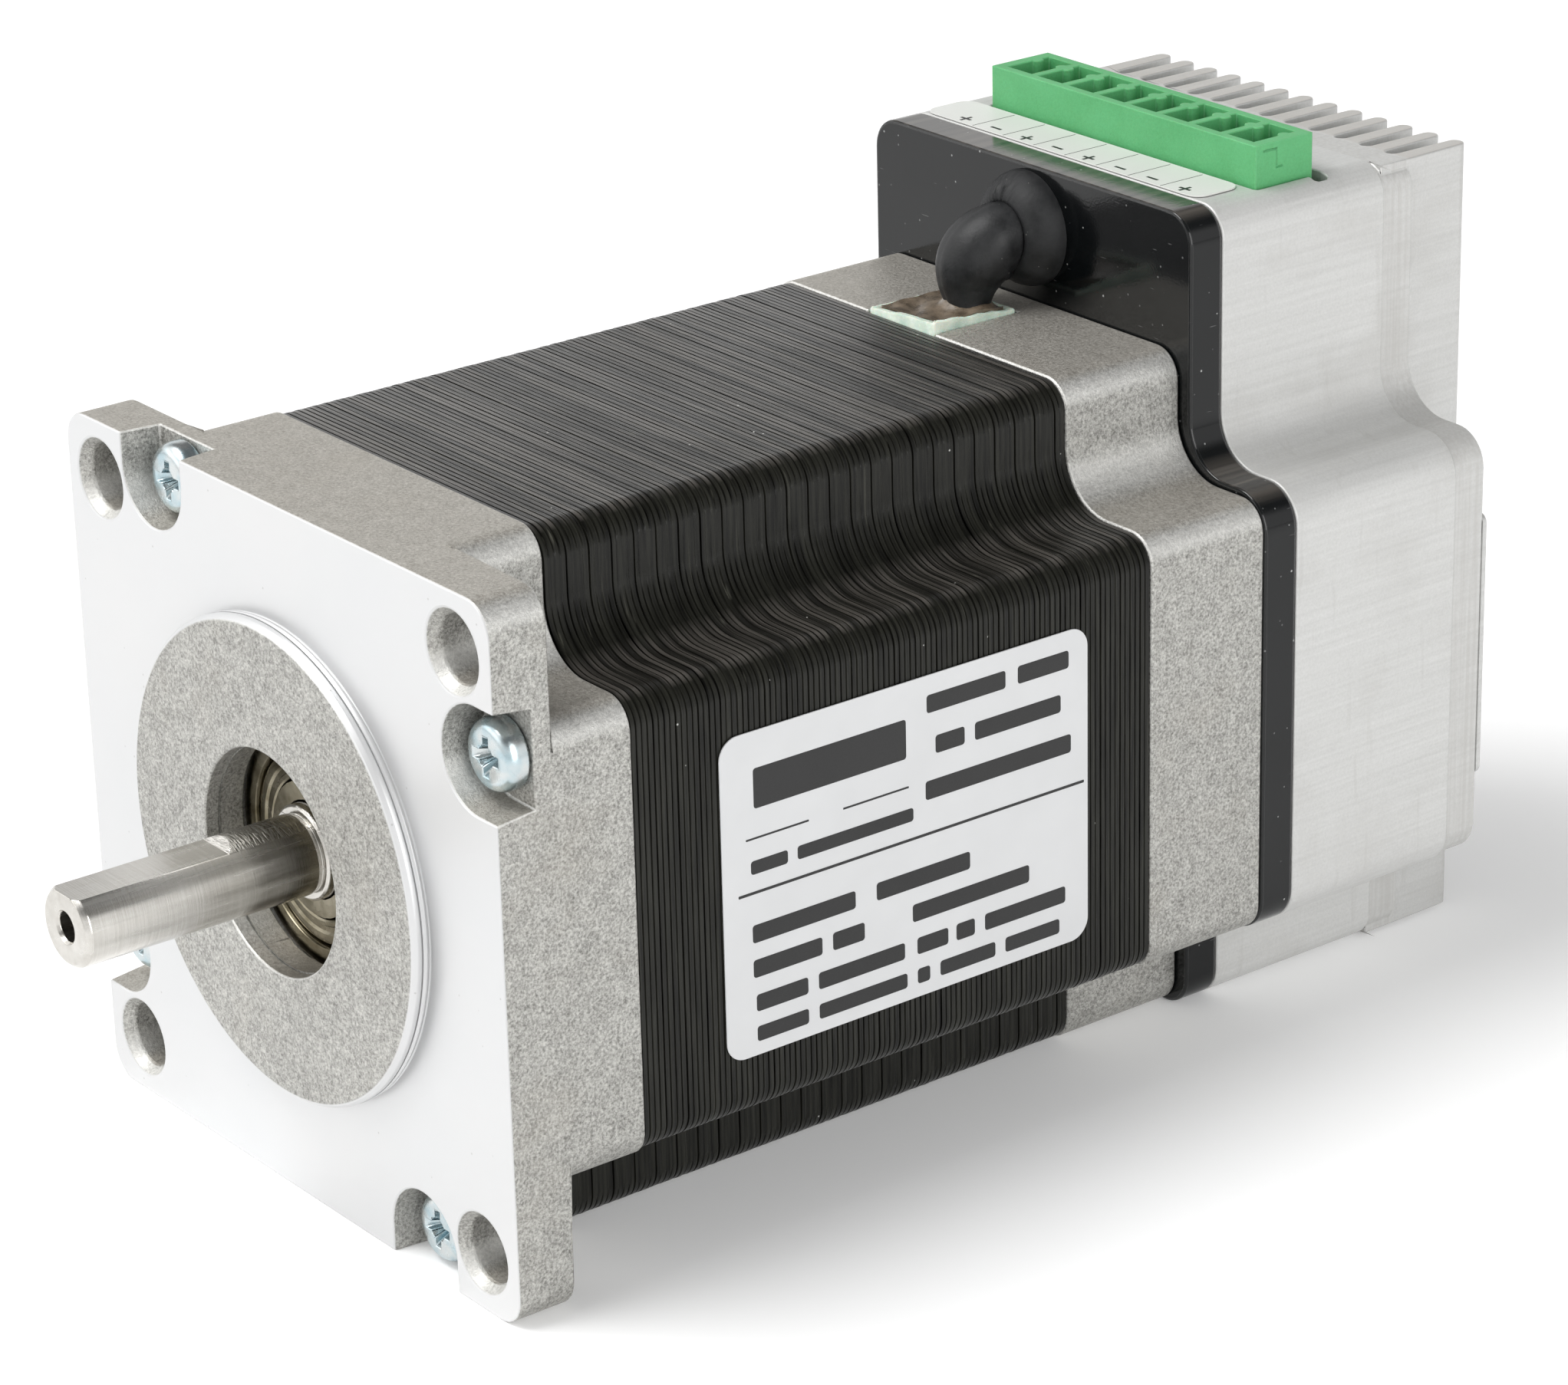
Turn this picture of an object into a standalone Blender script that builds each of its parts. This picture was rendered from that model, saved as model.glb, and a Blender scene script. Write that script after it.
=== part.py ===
"""Stepper motor with its driver on the back, as separate closed solids.

Lengths below are in millimetres and are scaled to metres by MM. The motor frame has its origin at
the centre of the mounting face, on the shaft axis: +X right, +Y towards the driver, +Z up. An empty
carries that frame to the object's own origin, which is the centre of its footprint.
"""
import math

import bmesh
import bpy
from mathutils import Matrix, Vector

MM = 0.001

# Driving dimensions
HALF_FLANGE = 28.2          # 56.4 mm square flange
FLANGE_T = 4.9
FLANGE_CORNER = 2.6
PILOT_R = 19.05
PILOT_H = 1.6
BOLT_HALF = 23.57           # 47.14 mm between bolt holes
BOLT_R = 2.6
BOLT_MOUTH_R = 3.25
BOLT_MOUTH_DEPTH = 0.9
HALF_BODY = 28.05
STACK_INSET = 0.1           # laminations sit just inside the castings
GAP = 0.1                   # between flat faces that touch on the real object
FIT = 0.15                  # round pieces that are pressed together

# Stations along the shaft axis
Y_TIP = -19.05
Y_STACK = 11.7
Y_REAR = 60.7
Y_PLATE = 72.4
Y_HOUSING = 75.75
Y_STEP = 92.9
Y_BACK = 96.2
Y_FINS = 103.0
BASE_INSIDE = 92.4          # inner face of the heat-sink base

# Corner notches of the motor body, and the outline shared by the plate and the driver housing
BODY = dict(half=HALF_BODY, ledge=18.15, wall=18.15, top=HALF_BODY, bottom=HALF_BODY,
            fillet=4.65, side_r=2.45, top_r=2.45)
DRIVER = dict(half=28.15, ledge=18.55, wall=19.35, top=39.1, bottom=28.15,
              fillet=4.1, side_r=3.2, top_r=2.6)
WALL_T = 2.2
FIN_COUNT = 13
FIN_PITCH = 2.93
FIN_T = 1.5

# Motor screws, in pockets that turn with the flange
SCREW_AT = (25.2, 15.8)
POCKET_AT = (25.8, 16.0)
POCKET_R = 4.2
POCKET_DRAFT = 0.4
POCKET_DEPTH = 3.3
SCREW_R = 1.5
SCREW_HEAD_R = 2.8
SCREW_HEAD_H = 2.0
SCREW_END = 66.8

# Shaft and bearings
SHAFT_R = 3.175
SHAFT_FLAT = 2.63
FLAT_END = -6.0
RUNOUT = 0.9
SEAT_R = 3.75
CORE_SEAT_R = 4.5
SHOULDER_Y = 1.2
BORE_R = 8.9
BEARING_R = 9.5
BEARING_W = 6.0
FRONT_BEARING_Y = 2.2
REAR_BEARING_Y = 63.7
RACE_IN_R = 5.35
RACE_OUT_R = 7.75
BALL_R = 1.0
BALL_COUNT = 8

# Stator and rotor
POLES = 8
POLE_HALF = 3.2
POLE_TIP_R = 17.15
YOKE_R = 23.5
COIL_END = 2.5              # winding beyond each end of the stack
SHOE_DEG = 16.5
CAVITY_R = 25.5
HUB_R = 12.6
ROTOR_R = 16.8
ROTOR_TEETH = 50
TOOTH_DEG = 360 / ROTOR_TEETH

# Driver electronics
BOARD_T = 1.6
CONTROL_Y = 78.3
POWER_Y = 87.5
BOARD_HALF_X = 16.6
BOARD_SCREWS = ((-13.6, -21.0), (13.6, 21.0))
HOUSING_SCREWS = ((-23.6, 0.0), (23.6, 0.0))
PLATE_SCREWS = ((-15.5, 15.5), (15.5, -15.5))
PITCH = 3.81
WAYS = 8
HEADER = dict(x0=-14.9, x1=17.0, y0=81.2, y1=87.25, z0=33.2, z1=42.5)
HEADER_MID = (HEADER["x0"] + HEADER["x1"]) / 2
PIN_Y = 84.1
PIN_Z = 31.6

# Lead exit
GROMMET_Z = 33.9
GROMMET_R = 4.75
LINER = dict(x0=-6.0, x1=2.2, y0=Y_REAR + GAP, y1=69.3, z0=25.6, z1=29.0)
LINER_T = 0.65
SLEEVE_PATH = ((-1.6, 66.5, 26.5), (-1.6, 66.5, 28.8), (-1.5, 66.7, 30.6), (-1.3, 67.4, 32.6),
               (-0.9, 68.7, 34.1), (-0.4, 70.1, 34.4), (-0.1, 71.2, 34.05), (0, 72.2, 33.9),
               (0, 75.9, 33.9))
SLEEVE_RADII = (1.8, 1.95, 2.6, 3.05, 3.1, 2.95, 2.7, 2.6, 2.6)

ORIGIN = Vector((0, -(Y_TIP + Y_FINS) / 2, HALF_FLANGE))


# ---------------------------------------------------------------- scene helpers

def clear_scene():
    for item in list(bpy.data.objects):
        bpy.data.objects.remove(item, do_unlink=True)


def make_frame():
    frame = bpy.data.objects.new("motor_frame", None)
    frame.location = ORIGIN * MM
    bpy.context.scene.collection.objects.link(frame)
    return frame


def material(name, colour, roughness, metallic=0.0):
    found = bpy.data.materials.get(name)
    if found:
        return found
    made = bpy.data.materials.new(name)
    made.use_nodes = True
    shader = made.node_tree.nodes["Principled BSDF"]
    shader.inputs["Base Color"].default_value = (*colour, 1)
    shader.inputs["Roughness"].default_value = roughness
    shader.inputs["Metallic"].default_value = metallic
    return made


def place(name, mesh, at=(0, 0), turn=0.0):
    """An object at x, z on the motor frame, turned about the shaft's axis by degrees from +X to +Z."""
    item = bpy.data.objects.new(name, mesh)
    item.parent = FRAME
    item.location = Vector((at[0], 0, at[1])) * MM
    item.rotation_euler.y = -math.radians(turn)
    bpy.context.scene.collection.objects.link(item)
    return item


def to_mesh(name, bm):
    bmesh.ops.recalc_face_normals(bm, faces=bm.faces)
    bmesh.ops.scale(bm, vec=(MM, MM, MM), verts=bm.verts)
    for face in bm.faces:
        face.smooth = True
    mesh = bpy.data.meshes.new(name)
    bm.to_mesh(mesh)
    bm.free()
    mesh.set_sharp_from_angle(angle=math.radians(32))
    return mesh


def node(name, bm, finish, at=(0, 0)):
    """One closed sub-part with its own material."""
    mesh = to_mesh(name, bm)
    mesh.materials.append(material(name + "_finish", *finish))
    return place(name, mesh, at)


def copies(name, bm, finish, spots):
    """Numbered objects that share one mesh: spots are (x, z) places, or degrees of turn."""
    mesh = to_mesh(name, bm)
    mesh.materials.append(material(name + "_finish", *finish))
    made = []
    for number, spot in enumerate(spots, 1):
        at, turn = (spot, 0.0) if isinstance(spot, tuple) else ((0, 0), spot)
        made.append(place(f"{name}_{number}", mesh, at, turn))
    return made


def combine(target, bm, operation):
    """A Boolean with a helper solid that sits where its target sits, and isn't a sub-part."""
    name = f"{target.name}_{operation.lower()}_{len(target.modifiers)}"
    helper = place(name, to_mesh(name, bm))
    helper.location = target.location
    helper.hide_render = True
    helper.display_type = "WIRE"
    modifier = target.modifiers.new(name, "BOOLEAN")
    modifier.operation = operation
    modifier.object = helper


def cut(target, bm):
    combine(target, bm, "DIFFERENCE")


def add(target, bm):
    combine(target, bm, "UNION")


# ---------------------------------------------------------------- shape helpers

def arc(cx, cz, r, start, end, count):
    """count + 1 points of an arc, angles in degrees from +X towards +Z."""
    step = (end - start) / count
    angles = [math.radians(start + i * step) for i in range(count + 1)]
    return [(cx + r * math.cos(a), cz + r * math.sin(a)) for a in angles]


def stepped_outline(half, ledge, wall, top, bottom, fillet, side_r, top_r, inset=0.0):
    """A cross with S-shaped corners: wide for |z| < ledge, narrow (|x| < wall) up to top."""
    half, ledge, wall = half - inset, ledge - inset, wall - inset
    fillet, side_r, top_r = fillet + inset, side_r - inset, top_r - inset

    def quadrant(height):
        height -= inset
        return (arc(half - side_r, ledge - side_r, side_r, 0, 90, 5)
                + arc(wall + fillet, ledge + fillet, fillet, 270, 180, 6)
                + arc(wall - top_r, height - top_r, top_r, 0, 90, 5))

    upper, lower = quadrant(top), quadrant(bottom)
    return (upper + [(-x, z) for x, z in reversed(upper)]
            + [(-x, -z) for x, z in lower] + [(x, -z) for x, z in reversed(lower)])


def rounded_box(x0, x1, z0, z1, r, count=4):
    return (arc(x1 - r, z1 - r, r, 0, 90, count) + arc(x0 + r, z1 - r, r, 90, 180, count)
            + arc(x0 + r, z0 + r, r, 180, 270, count) + arc(x1 - r, z0 + r, r, 270, 360, count))


def quarter_turned(point, turns):
    x, z = point
    for _ in range(turns):
        x, z = -z, x
    return x, z


def band(bm, near, far):
    """Quads between two loops of vertices."""
    for i in range(len(near)):
        j = (i + 1) % len(near)
        bm.faces.new((near[i], near[j], far[j], far[i]))


def skin(bm, loops):
    """Bands round a closed chain of loops, as on a torus."""
    for near, far in zip(loops, loops[1:] + loops[:1]):
        band(bm, near, far)
    return bm


def loft(bm, rings):
    """Closed skin through rings of 3-D points that all have the same count."""
    loops = [[bm.verts.new(p) for p in ring] for ring in rings]
    for near, far in zip(loops, loops[1:]):
        band(bm, near, far)
    bm.faces.new(loops[0])
    bm.faces.new(list(reversed(loops[-1])))
    return bm


def prism(bm, outline, y0, y1, far_outline=None):
    """An outline in x and z, run along the shaft axis."""
    far = far_outline or outline
    return loft(bm, [[(x, y0, z) for x, z in outline], [(x, y1, z) for x, z in far]])


def box(bm, x0, x1, y0, y1, z0, z1):
    return prism(bm, [(x0, z0), (x1, z0), (x1, z1), (x0, z1)], y0, y1)


def turned(bm, profile, count=48, centre=(0, 0)):
    """A profile of (radius, y) points turned about the shaft's direction; radius 0 closes an end."""
    cx, cz = centre
    rings = []
    for r, y in profile:
        if r == 0:
            rings.append([bm.verts.new((cx, y, cz))])
        else:
            rings.append([bm.verts.new((x, y, z)) for x, z in arc(cx, cz, r, 0, 360, count)[:-1]])
    closed = profile[0][0] != 0
    pairs = list(zip(rings, rings[1:])) + ([(rings[-1], rings[0])] if closed else [])
    for near, far in pairs:
        for i in range(count):
            j = (i + 1) % count
            corners = [near[i % len(near)], near[j % len(near)], far[j % len(far)], far[i % len(far)]]
            bm.faces.new(list(dict.fromkeys(corners)))
    return bm


def ring(bm, r_in, r_out, y0, y1, count=48):
    return turned(bm, [(r_in, y0), (r_out, y0), (r_out, y1), (r_in, y1)], count)


def rod(bm, r, y0, y1, centre=(0, 0), count=24):
    return turned(bm, [(0, y0), (r, y0), (r, y1), (0, y1)], count, centre)


def tube_along(bm, path, radii, count=16):
    """A round skin along a path of 3-D points, with its own radius at each point."""
    points = [Vector(p) for p in path]
    rings = []
    side = Vector((1, 0, 0))
    for i, point in enumerate(points):
        ahead = points[min(i + 1, len(points) - 1)] - points[max(i - 1, 0)]
        ahead.normalize()
        across = (side - ahead * side.dot(ahead)).normalized()
        up = ahead.cross(across)
        angles = [2 * math.pi * k / count for k in range(count)]
        rings.append([point + (across * math.cos(a) + up * math.sin(a)) * radii[i] for a in angles])
    return loft(bm, rings)


def new():
    return bmesh.new()


# ---------------------------------------------------------------- finishes

CAST = ((0.62, 0.60, 0.56), 0.55, 0.8)
LAMINATION = ((0.045, 0.042, 0.04), 0.45, 0.2)
STEEL = ((0.62, 0.60, 0.57), 0.28, 1.0)
RACE = ((0.42, 0.38, 0.30), 0.3, 1.0)
ZINC = ((0.72, 0.76, 0.78), 0.3, 1.0)
COPPER = ((0.72, 0.30, 0.14), 0.35, 1.0)
CREAM = ((0.82, 0.80, 0.70), 0.6)
MAGNET = ((0.20, 0.20, 0.21), 0.4, 0.8)
ANODISED = ((0.02, 0.021, 0.024), 0.42, 0.3)
HOUSING = ((0.74, 0.74, 0.72), 0.5, 0.6)
RUBBER = ((0.03, 0.03, 0.032), 0.6)
LINER_FINISH = ((0.66, 0.78, 0.70), 0.7)
GLUE = ((0.22, 0.17, 0.11), 0.4)
BOARD = ((0.03, 0.22, 0.10), 0.5)
BLACK_PLASTIC = ((0.02, 0.02, 0.02), 0.5)
CAN = ((0.12, 0.13, 0.16), 0.35, 0.3)
PAD = ((0.55, 0.62, 0.72), 0.8)
GREEN = ((0.10, 0.50, 0.18), 0.55)
TIN = ((0.80, 0.78, 0.72), 0.3, 1.0)
LABEL = ((0.86, 0.87, 0.86), 0.6)


# ---------------------------------------------------------------- motor castings

def motor_screw_positions():
    return [quarter_turned(SCREW_AT, turns) for turns in range(4)]


def screw_pocket(bm, turns):
    """A drafted U-shaped pocket, open at the flange's edge."""
    def outline(r):
        cx, cz = POCKET_AT
        edge = HALF_FLANGE + 3
        shape = [(edge, cz + r)] + arc(cx, cz, r, 90, 270, 10) + [(edge, cz - r)]
        return [quarter_turned(p, turns) for p in shape]
    prism(bm, outline(POCKET_R + 0.1), -1, POCKET_DEPTH, outline(POCKET_R - POCKET_DRAFT))


def hub_and_cavity(target, mouth, floor, hub_end, pocket_floor):
    """The space for the coils, round a hub that holds the bearing's pocket."""
    beyond = mouth + (1 if mouth > floor else -1)
    seat_r = BEARING_R + FIT
    cut(target, turned(new(), [(0, beyond), (CAVITY_R, beyond), (CAVITY_R, floor), (HUB_R, floor),
                               (HUB_R, hub_end), (seat_r, hub_end), (seat_r, pocket_floor),
                               (0, pocket_floor)], 40))


def build_front_bell():
    square = rounded_box(-HALF_FLANGE, HALF_FLANGE, -HALF_FLANGE, HALF_FLANGE, FLANGE_CORNER)
    bell = node("front_end_bell", prism(new(), square, 0, FLANGE_T), CAST)
    add(bell, prism(new(), stepped_outline(**BODY), FLANGE_T - 1, Y_STACK))
    chamfer = 0.3
    add(bell, turned(new(), [(0, -PILOT_H), (PILOT_R - chamfer, -PILOT_H),
                             (PILOT_R, chamfer - PILOT_H), (PILOT_R, 1), (0, 1)], 64))
    hub_and_cavity(bell, Y_STACK, 5.4, 8.9, 1.9)
    cut(bell, rod(new(), BORE_R, -PILOT_H - 1, 3, count=40))
    holes, pockets = new(), new()
    above = 1.0
    flare = BOLT_MOUTH_R + (BOLT_MOUTH_R - BOLT_R) * above / BOLT_MOUTH_DEPTH
    for turns in range(4):
        bolt = quarter_turned((BOLT_HALF, BOLT_HALF), turns)
        turned(holes, [(0, -above), (flare, -above), (BOLT_R, BOLT_MOUTH_DEPTH),
                       (BOLT_R, FLANGE_T + 1), (0, FLANGE_T + 1)], 20, bolt)
        rod(holes, SCREW_R + 0.2, 2, Y_STACK + 1, quarter_turned(SCREW_AT, turns), 12)
        screw_pocket(pockets, turns)
    cut(bell, pockets)
    cut(bell, holes)


def build_rear_bell():
    y0, y1 = Y_REAR + GAP, Y_PLATE - GAP
    bell = node("rear_end_bell", prism(new(), stepped_outline(**BODY), y0, y1), CAST)
    hub_and_cavity(bell, y0, 67.0, 63.4, 70.9)
    holes = rod(new(), 5.5, 69, y1 + 1, count=24)
    for x, z in motor_screw_positions():
        rod(holes, SCREW_R + 0.15, y0 - 1, 67.6, (x, z), 12)
    for x, z in PLATE_SCREWS:
        rod(holes, 1.35, 68.2, y1 + 1, (x, z), 12)
    cut(bell, holes)
    lead_exit = box(new(), LINER["x0"] - GAP, LINER["x1"] + GAP, y0 - 1, LINER["y1"] + GAP, 22, 30)
    cut(bell, lead_exit)


def build_motor_screws():
    seat = POCKET_DEPTH - 0.05
    head = seat - SCREW_HEAD_H
    screw = turned(new(), [(0, head), (1.75, head + 0.05), (2.4, head + 0.4),
                           (SCREW_HEAD_R, head + 1.1), (SCREW_HEAD_R, seat), (SCREW_R, seat),
                           (SCREW_R, SCREW_END - 0.6), (1.0, SCREW_END), (0, SCREW_END)], 16)
    for made in copies("motor_screw", screw, ZINC, motor_screw_positions()):
        cut(made, prism(new(), cross_outline(1.5, 0.32), head - 1, head + 1.2))


def cross_outline(wide, slim):
    """A plus sign, counter-clockwise."""
    points = []
    for turns in range(4):
        points += [quarter_turned(p, turns) for p in ((wide, -slim), (wide, slim), (slim, slim))]
    return points


# ---------------------------------------------------------------- stator

def polar(r, degrees):
    angle = math.radians(degrees)
    return r * math.cos(angle), r * math.sin(angle)


def turned_point(point, degrees):
    x, z = point
    c, s = polar(1, degrees)
    return x * c - z * s, x * s + z * c


def pole_points():
    """One toothed pole pointing inwards, from its clockwise side to the other."""
    root_u = math.sqrt(YOKE_R ** 2 - POLE_HALF ** 2)
    slot_r, under_r, neck_u = POLE_TIP_R + 0.7, 18.7, 19.4
    points = [(root_u, -POLE_HALF), (neck_u, -POLE_HALF), polar(under_r, -SHOE_DEG),
              polar(slot_r, -SHOE_DEG)]
    for tooth in range(-2, 3):
        mid = tooth * TOOTH_DEG
        points += [polar(slot_r, mid - 1.8), polar(POLE_TIP_R, mid - 1.7),
                   polar(POLE_TIP_R, mid + 1.7), polar(slot_r, mid + 1.8)]
    points += [polar(slot_r, SHOE_DEG), polar(under_r, SHOE_DEG), (neck_u, POLE_HALF),
               (root_u, POLE_HALF)]
    return points


def stator_bore():
    step = 360 / POLES
    half = math.degrees(math.asin(POLE_HALF / YOKE_R))
    outline = []
    for pole in range(POLES):
        outline += [turned_point(p, pole * step) for p in pole_points()]
        start, end = pole * step + half, (pole + 1) * step - half
        outline += arc(0, 0, YOKE_R, start, end, 5)[1:-1]
    return outline


def build_stack():
    y0, y1 = Y_STACK + GAP, Y_REAR
    outline = stepped_outline(**BODY, inset=STACK_INSET)
    stack = node("stator_stack", prism(new(), outline, y0, y1), LAMINATION)
    cut(stack, prism(new(), stator_bore(), y0 - 1, y1 + 1))
    holes = new()
    for x, z in motor_screw_positions():
        rod(holes, SCREW_R + 0.2, y0 - 1, y1 + 1, (x, z), 12)
    cut(stack, holes)


def build_coils():
    """Rectangular windings: outlines run across the pole and along the shaft."""
    inner0, inner1 = Y_STACK - 0.85, Y_REAR + 0.95
    near_axis, far_axis, inner_half, outer_half = 19.9, 22.4, 3.65, 6.2

    def loop(bm, radius, half, y0, y1):
        corners = ((-half, y0), (half, y0), (half, y1), (-half, y1))
        return [bm.verts.new((radius, y, across)) for across, y in corners]

    bm = new()
    outer = (outer_half, inner0 - COIL_END, inner1 + COIL_END)
    inner = (inner_half, inner0, inner1)
    skin(bm, [loop(bm, near_axis, *outer), loop(bm, far_axis, *outer),
              loop(bm, far_axis, *inner), loop(bm, near_axis, *inner)])
    copies("coil", bm, COPPER, [pole * 360.0 / POLES for pole in range(POLES)])


def build_insulator(name, y0, y1):
    """A moulded ring on the stack's end, with an arm over each pole."""
    outline = []
    step = 360 / POLES
    ring_r, arm_r, arm_half = 23.6, 17.9, 3.0
    half = math.degrees(math.asin(arm_half / ring_r))
    for pole in range(POLES):
        arm = [(math.sqrt(ring_r ** 2 - arm_half ** 2), -arm_half), (arm_r, -arm_half),
               (arm_r, arm_half), (math.sqrt(ring_r ** 2 - arm_half ** 2), arm_half)]
        outline += [turned_point(p, pole * step) for p in arm]
        outline += arc(0, 0, ring_r, pole * step + half, (pole + 1) * step - half, 4)[1:-1]
    insulator = node(name, rod(new(), CAVITY_R - 0.3, y0, y1, count=40), CREAM)
    cut(insulator, prism(new(), outline, y0 - 1, y1 + 1))


# ---------------------------------------------------------------- rotor and bearings

def build_shaft():
    end_hole_r, end_hole_depth, chamfer = 1.15, 5.0, 0.3
    profile = [(0, Y_TIP + end_hole_depth + 0.6), (end_hole_r, Y_TIP + end_hole_depth),
               (end_hole_r, Y_TIP + 0.25), (end_hole_r + 0.25, Y_TIP), (SHAFT_R - chamfer, Y_TIP),
               (SHAFT_R, Y_TIP + chamfer), (SHAFT_R, SHOULDER_Y), (SEAT_R - 0.25, SHOULDER_Y),
               (SEAT_R, SHOULDER_Y + 0.25), (SEAT_R, 8.6), (CORE_SEAT_R, 8.6),
               (CORE_SEAT_R, REAR_BEARING_Y - 0.3), (SEAT_R, REAR_BEARING_Y - 0.3),
               (SEAT_R, 70.1), (SEAT_R - 0.3, 70.4), (0, 70.4)]
    shaft = node("shaft", turned(new(), profile, 32), STEEL)
    over = SHAFT_R + 1
    flat = [(Y_TIP - 1, SHAFT_FLAT), (FLAT_END, SHAFT_FLAT), (FLAT_END + RUNOUT, SHAFT_R + 0.05),
            (FLAT_END + RUNOUT, over), (Y_TIP - 1, over)]
    cut(shaft, loft(new(), [[(x, y, z) for y, z in flat] for x in (-over, over)]))


def toothed_outline(shift):
    points = []
    for tooth in range(ROTOR_TEETH):
        mid = tooth * TOOTH_DEG + shift
        points += [polar(ROTOR_R - 0.9, mid - 1.9), polar(ROTOR_R, mid - 1.6),
                   polar(ROTOR_R, mid + 1.6), polar(ROTOR_R - 0.9, mid + 1.9)]
    return points


def build_rotor():
    magnet_y = (Y_STACK + Y_REAR) / 2
    spans = (("front_rotor_core", Y_STACK + 0.8, magnet_y - 1.0, 0),
             ("rear_rotor_core", magnet_y + 1.0, Y_REAR - 0.8, TOOTH_DEG / 2))
    for name, y0, y1, shift in spans:
        core = node(name, prism(new(), toothed_outline(shift), y0, y1), LAMINATION)
        cut(core, rod(new(), CORE_SEAT_R + FIT, y0 - 1, y1 + 1, count=32))
    disc = ring(new(), CORE_SEAT_R + FIT, 15.4, magnet_y - 1.0 + GAP, magnet_y + 1.0 - GAP, 32)
    node("rotor_magnet", disc, MAGNET)


def build_bearing(prefix, y0):
    y1 = y0 + BEARING_W
    soft = 0.3
    node(prefix + "_outer_race",
         turned(new(), [(RACE_OUT_R, y0), (BEARING_R - soft, y0), (BEARING_R, y0 + soft),
                        (BEARING_R, y1 - soft), (BEARING_R - soft, y1), (RACE_OUT_R, y1)], 32), RACE)
    node(prefix + "_inner_race",
         turned(new(), [(SEAT_R + FIT, y0), (RACE_IN_R, y0), (RACE_IN_R, y1), (SEAT_R + FIT, y1)],
                32), RACE)
    mid = (y0 + y1) / 2
    pitch_r = (RACE_IN_R + RACE_OUT_R) / 2
    band_ring = ring(new(), pitch_r - 0.35, pitch_r + 0.35, mid - 0.5, mid + 0.5, 24)
    cage = node(prefix + "_cage", band_ring, STEEL)
    balls = new()
    for i in range(BALL_COUNT):
        x, z = polar(pitch_r, i * 360 / BALL_COUNT)
        move = Matrix.Translation((x, mid, z))
        bmesh.ops.create_uvsphere(balls, u_segments=8, v_segments=5, radius=BALL_R, matrix=move)
    add(cage, balls)


def build_shield(name, y):
    """The pressed steel ring that closes a bearing, held by its outer race."""
    node(name, ring(new(), RACE_IN_R + 0.2, RACE_OUT_R - 0.2, y, y + 0.25, 32), RACE)


def build_wave_washer():
    """A thin spring ring with three waves, between the rear bearing and its pocket's floor."""
    count, mean, rise, thick = 36, 70.3, 0.28, 0.25
    bm = new()
    loops = []
    for r, lift in ((6.9, 0), (9.2, 0), (9.2, thick), (6.9, thick)):
        loop = []
        for i in range(count):
            angle = 2 * math.pi * i / count
            y = mean - thick / 2 + lift + rise * math.sin(3 * angle)
            loop.append(bm.verts.new((r * math.cos(angle), y, r * math.sin(angle))))
        loops.append(loop)
    node("wave_washer", skin(bm, loops), STEEL)


# ---------------------------------------------------------------- lead exit


def build_lead_exit():
    x0, x1, y0, y1 = (LINER[k] for k in ("x0", "x1", "y0", "y1"))
    z0, z1, t = LINER["z0"], LINER["z1"], LINER_T
    liner = node("lead_exit_liner", box(new(), x0, x1, y0, y1, z0, z1), LINER_FINISH)
    cut(liner, box(new(), x0 + t, x1 - t, y0 + t, y1 - t, z0 - 1, z1 + 1))
    side, back = t + GAP, 64.3
    wedge = [(y0 + side, 26.4), (back, 26.4), (back, 30.0), (back - 1.2, 29.4), (y0 + side, z1 - 0.2)]
    node("potting", loft(new(), [[(x, y, z) for y, z in wedge] for x in (x0 + side, x1 - side)]), GLUE)
    node("lead_sleeve", tube_along(new(), SLEEVE_PATH, SLEEVE_RADII), RUBBER)
    node("cable_grommet",
         turned(new(), [(3.05, 72.0), (3.3, 71.45), (4.0, 71.35), (4.55, 71.7), (GROMMET_R, 72.3),
                        (3.9, 72.3), (3.9, 75.75), (4.1, 75.9), (3.9, 76.3), (3.05, 76.3)],
                24, (0, GROMMET_Z)), RUBBER)
    bundle = ((0, 77.3, 35.4), (0, 77.3, 24.5))
    node("lead_bundle", tube_along(new(), bundle, (0.7, 0.7), 12), COPPER)


# ---------------------------------------------------------------- driver

def build_plate():
    y0, y1 = Y_PLATE, Y_HOUSING - GAP
    plate = node("adapter_plate", prism(new(), stepped_outline(**DRIVER), y0, y1), ANODISED)
    holes = rod(new(), GROMMET_R - 0.65, y0 - 1, y1 + 1, (0, GROMMET_Z), 24)
    rod(holes, 6.0, y0 - 1, y1 + 1, count=24)
    for x, z in PLATE_SCREWS:
        turned(holes, [(0, y0 - 1), (1.45, y0 - 1), (1.45, y1 - 1.5), (2.95, y1), (2.95, y1 + 1),
                       (0, y1 + 1)], 16, (x, z))
    for x, z in HOUSING_SCREWS:
        rod(holes, 1.7, y0 + 0.5, y1 + 1, (x, z), 16)
    cut(plate, holes)
    copies("plate_screw", turned(new(), [(0, 68.6), (1.2, 68.6), (1.2, y1 - 1.55),
                                         (2.75, y1 - 0.05), (0, y1 - 0.05)], 16), ZINC,
           PLATE_SCREWS)


def fin_outline():
    """The heat sink's comb in x and y: fins with rounded tips on a solid base."""
    left = -(FIN_COUNT - 1) / 2 * FIN_PITCH
    half, taper = FIN_T / 2, 0.12
    points = [(left - half - taper, Y_STEP + 0.4)]
    for i in range(FIN_COUNT):
        mid = left + i * FIN_PITCH
        points.append((mid - half - taper, Y_BACK))
        tip = arc(mid, Y_FINS - half, half, 180, 0, 6)
        points += tip
        points.append((mid + half + taper, Y_BACK))
    points.append((-points[0][0], Y_STEP + 0.4))
    return points


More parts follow.
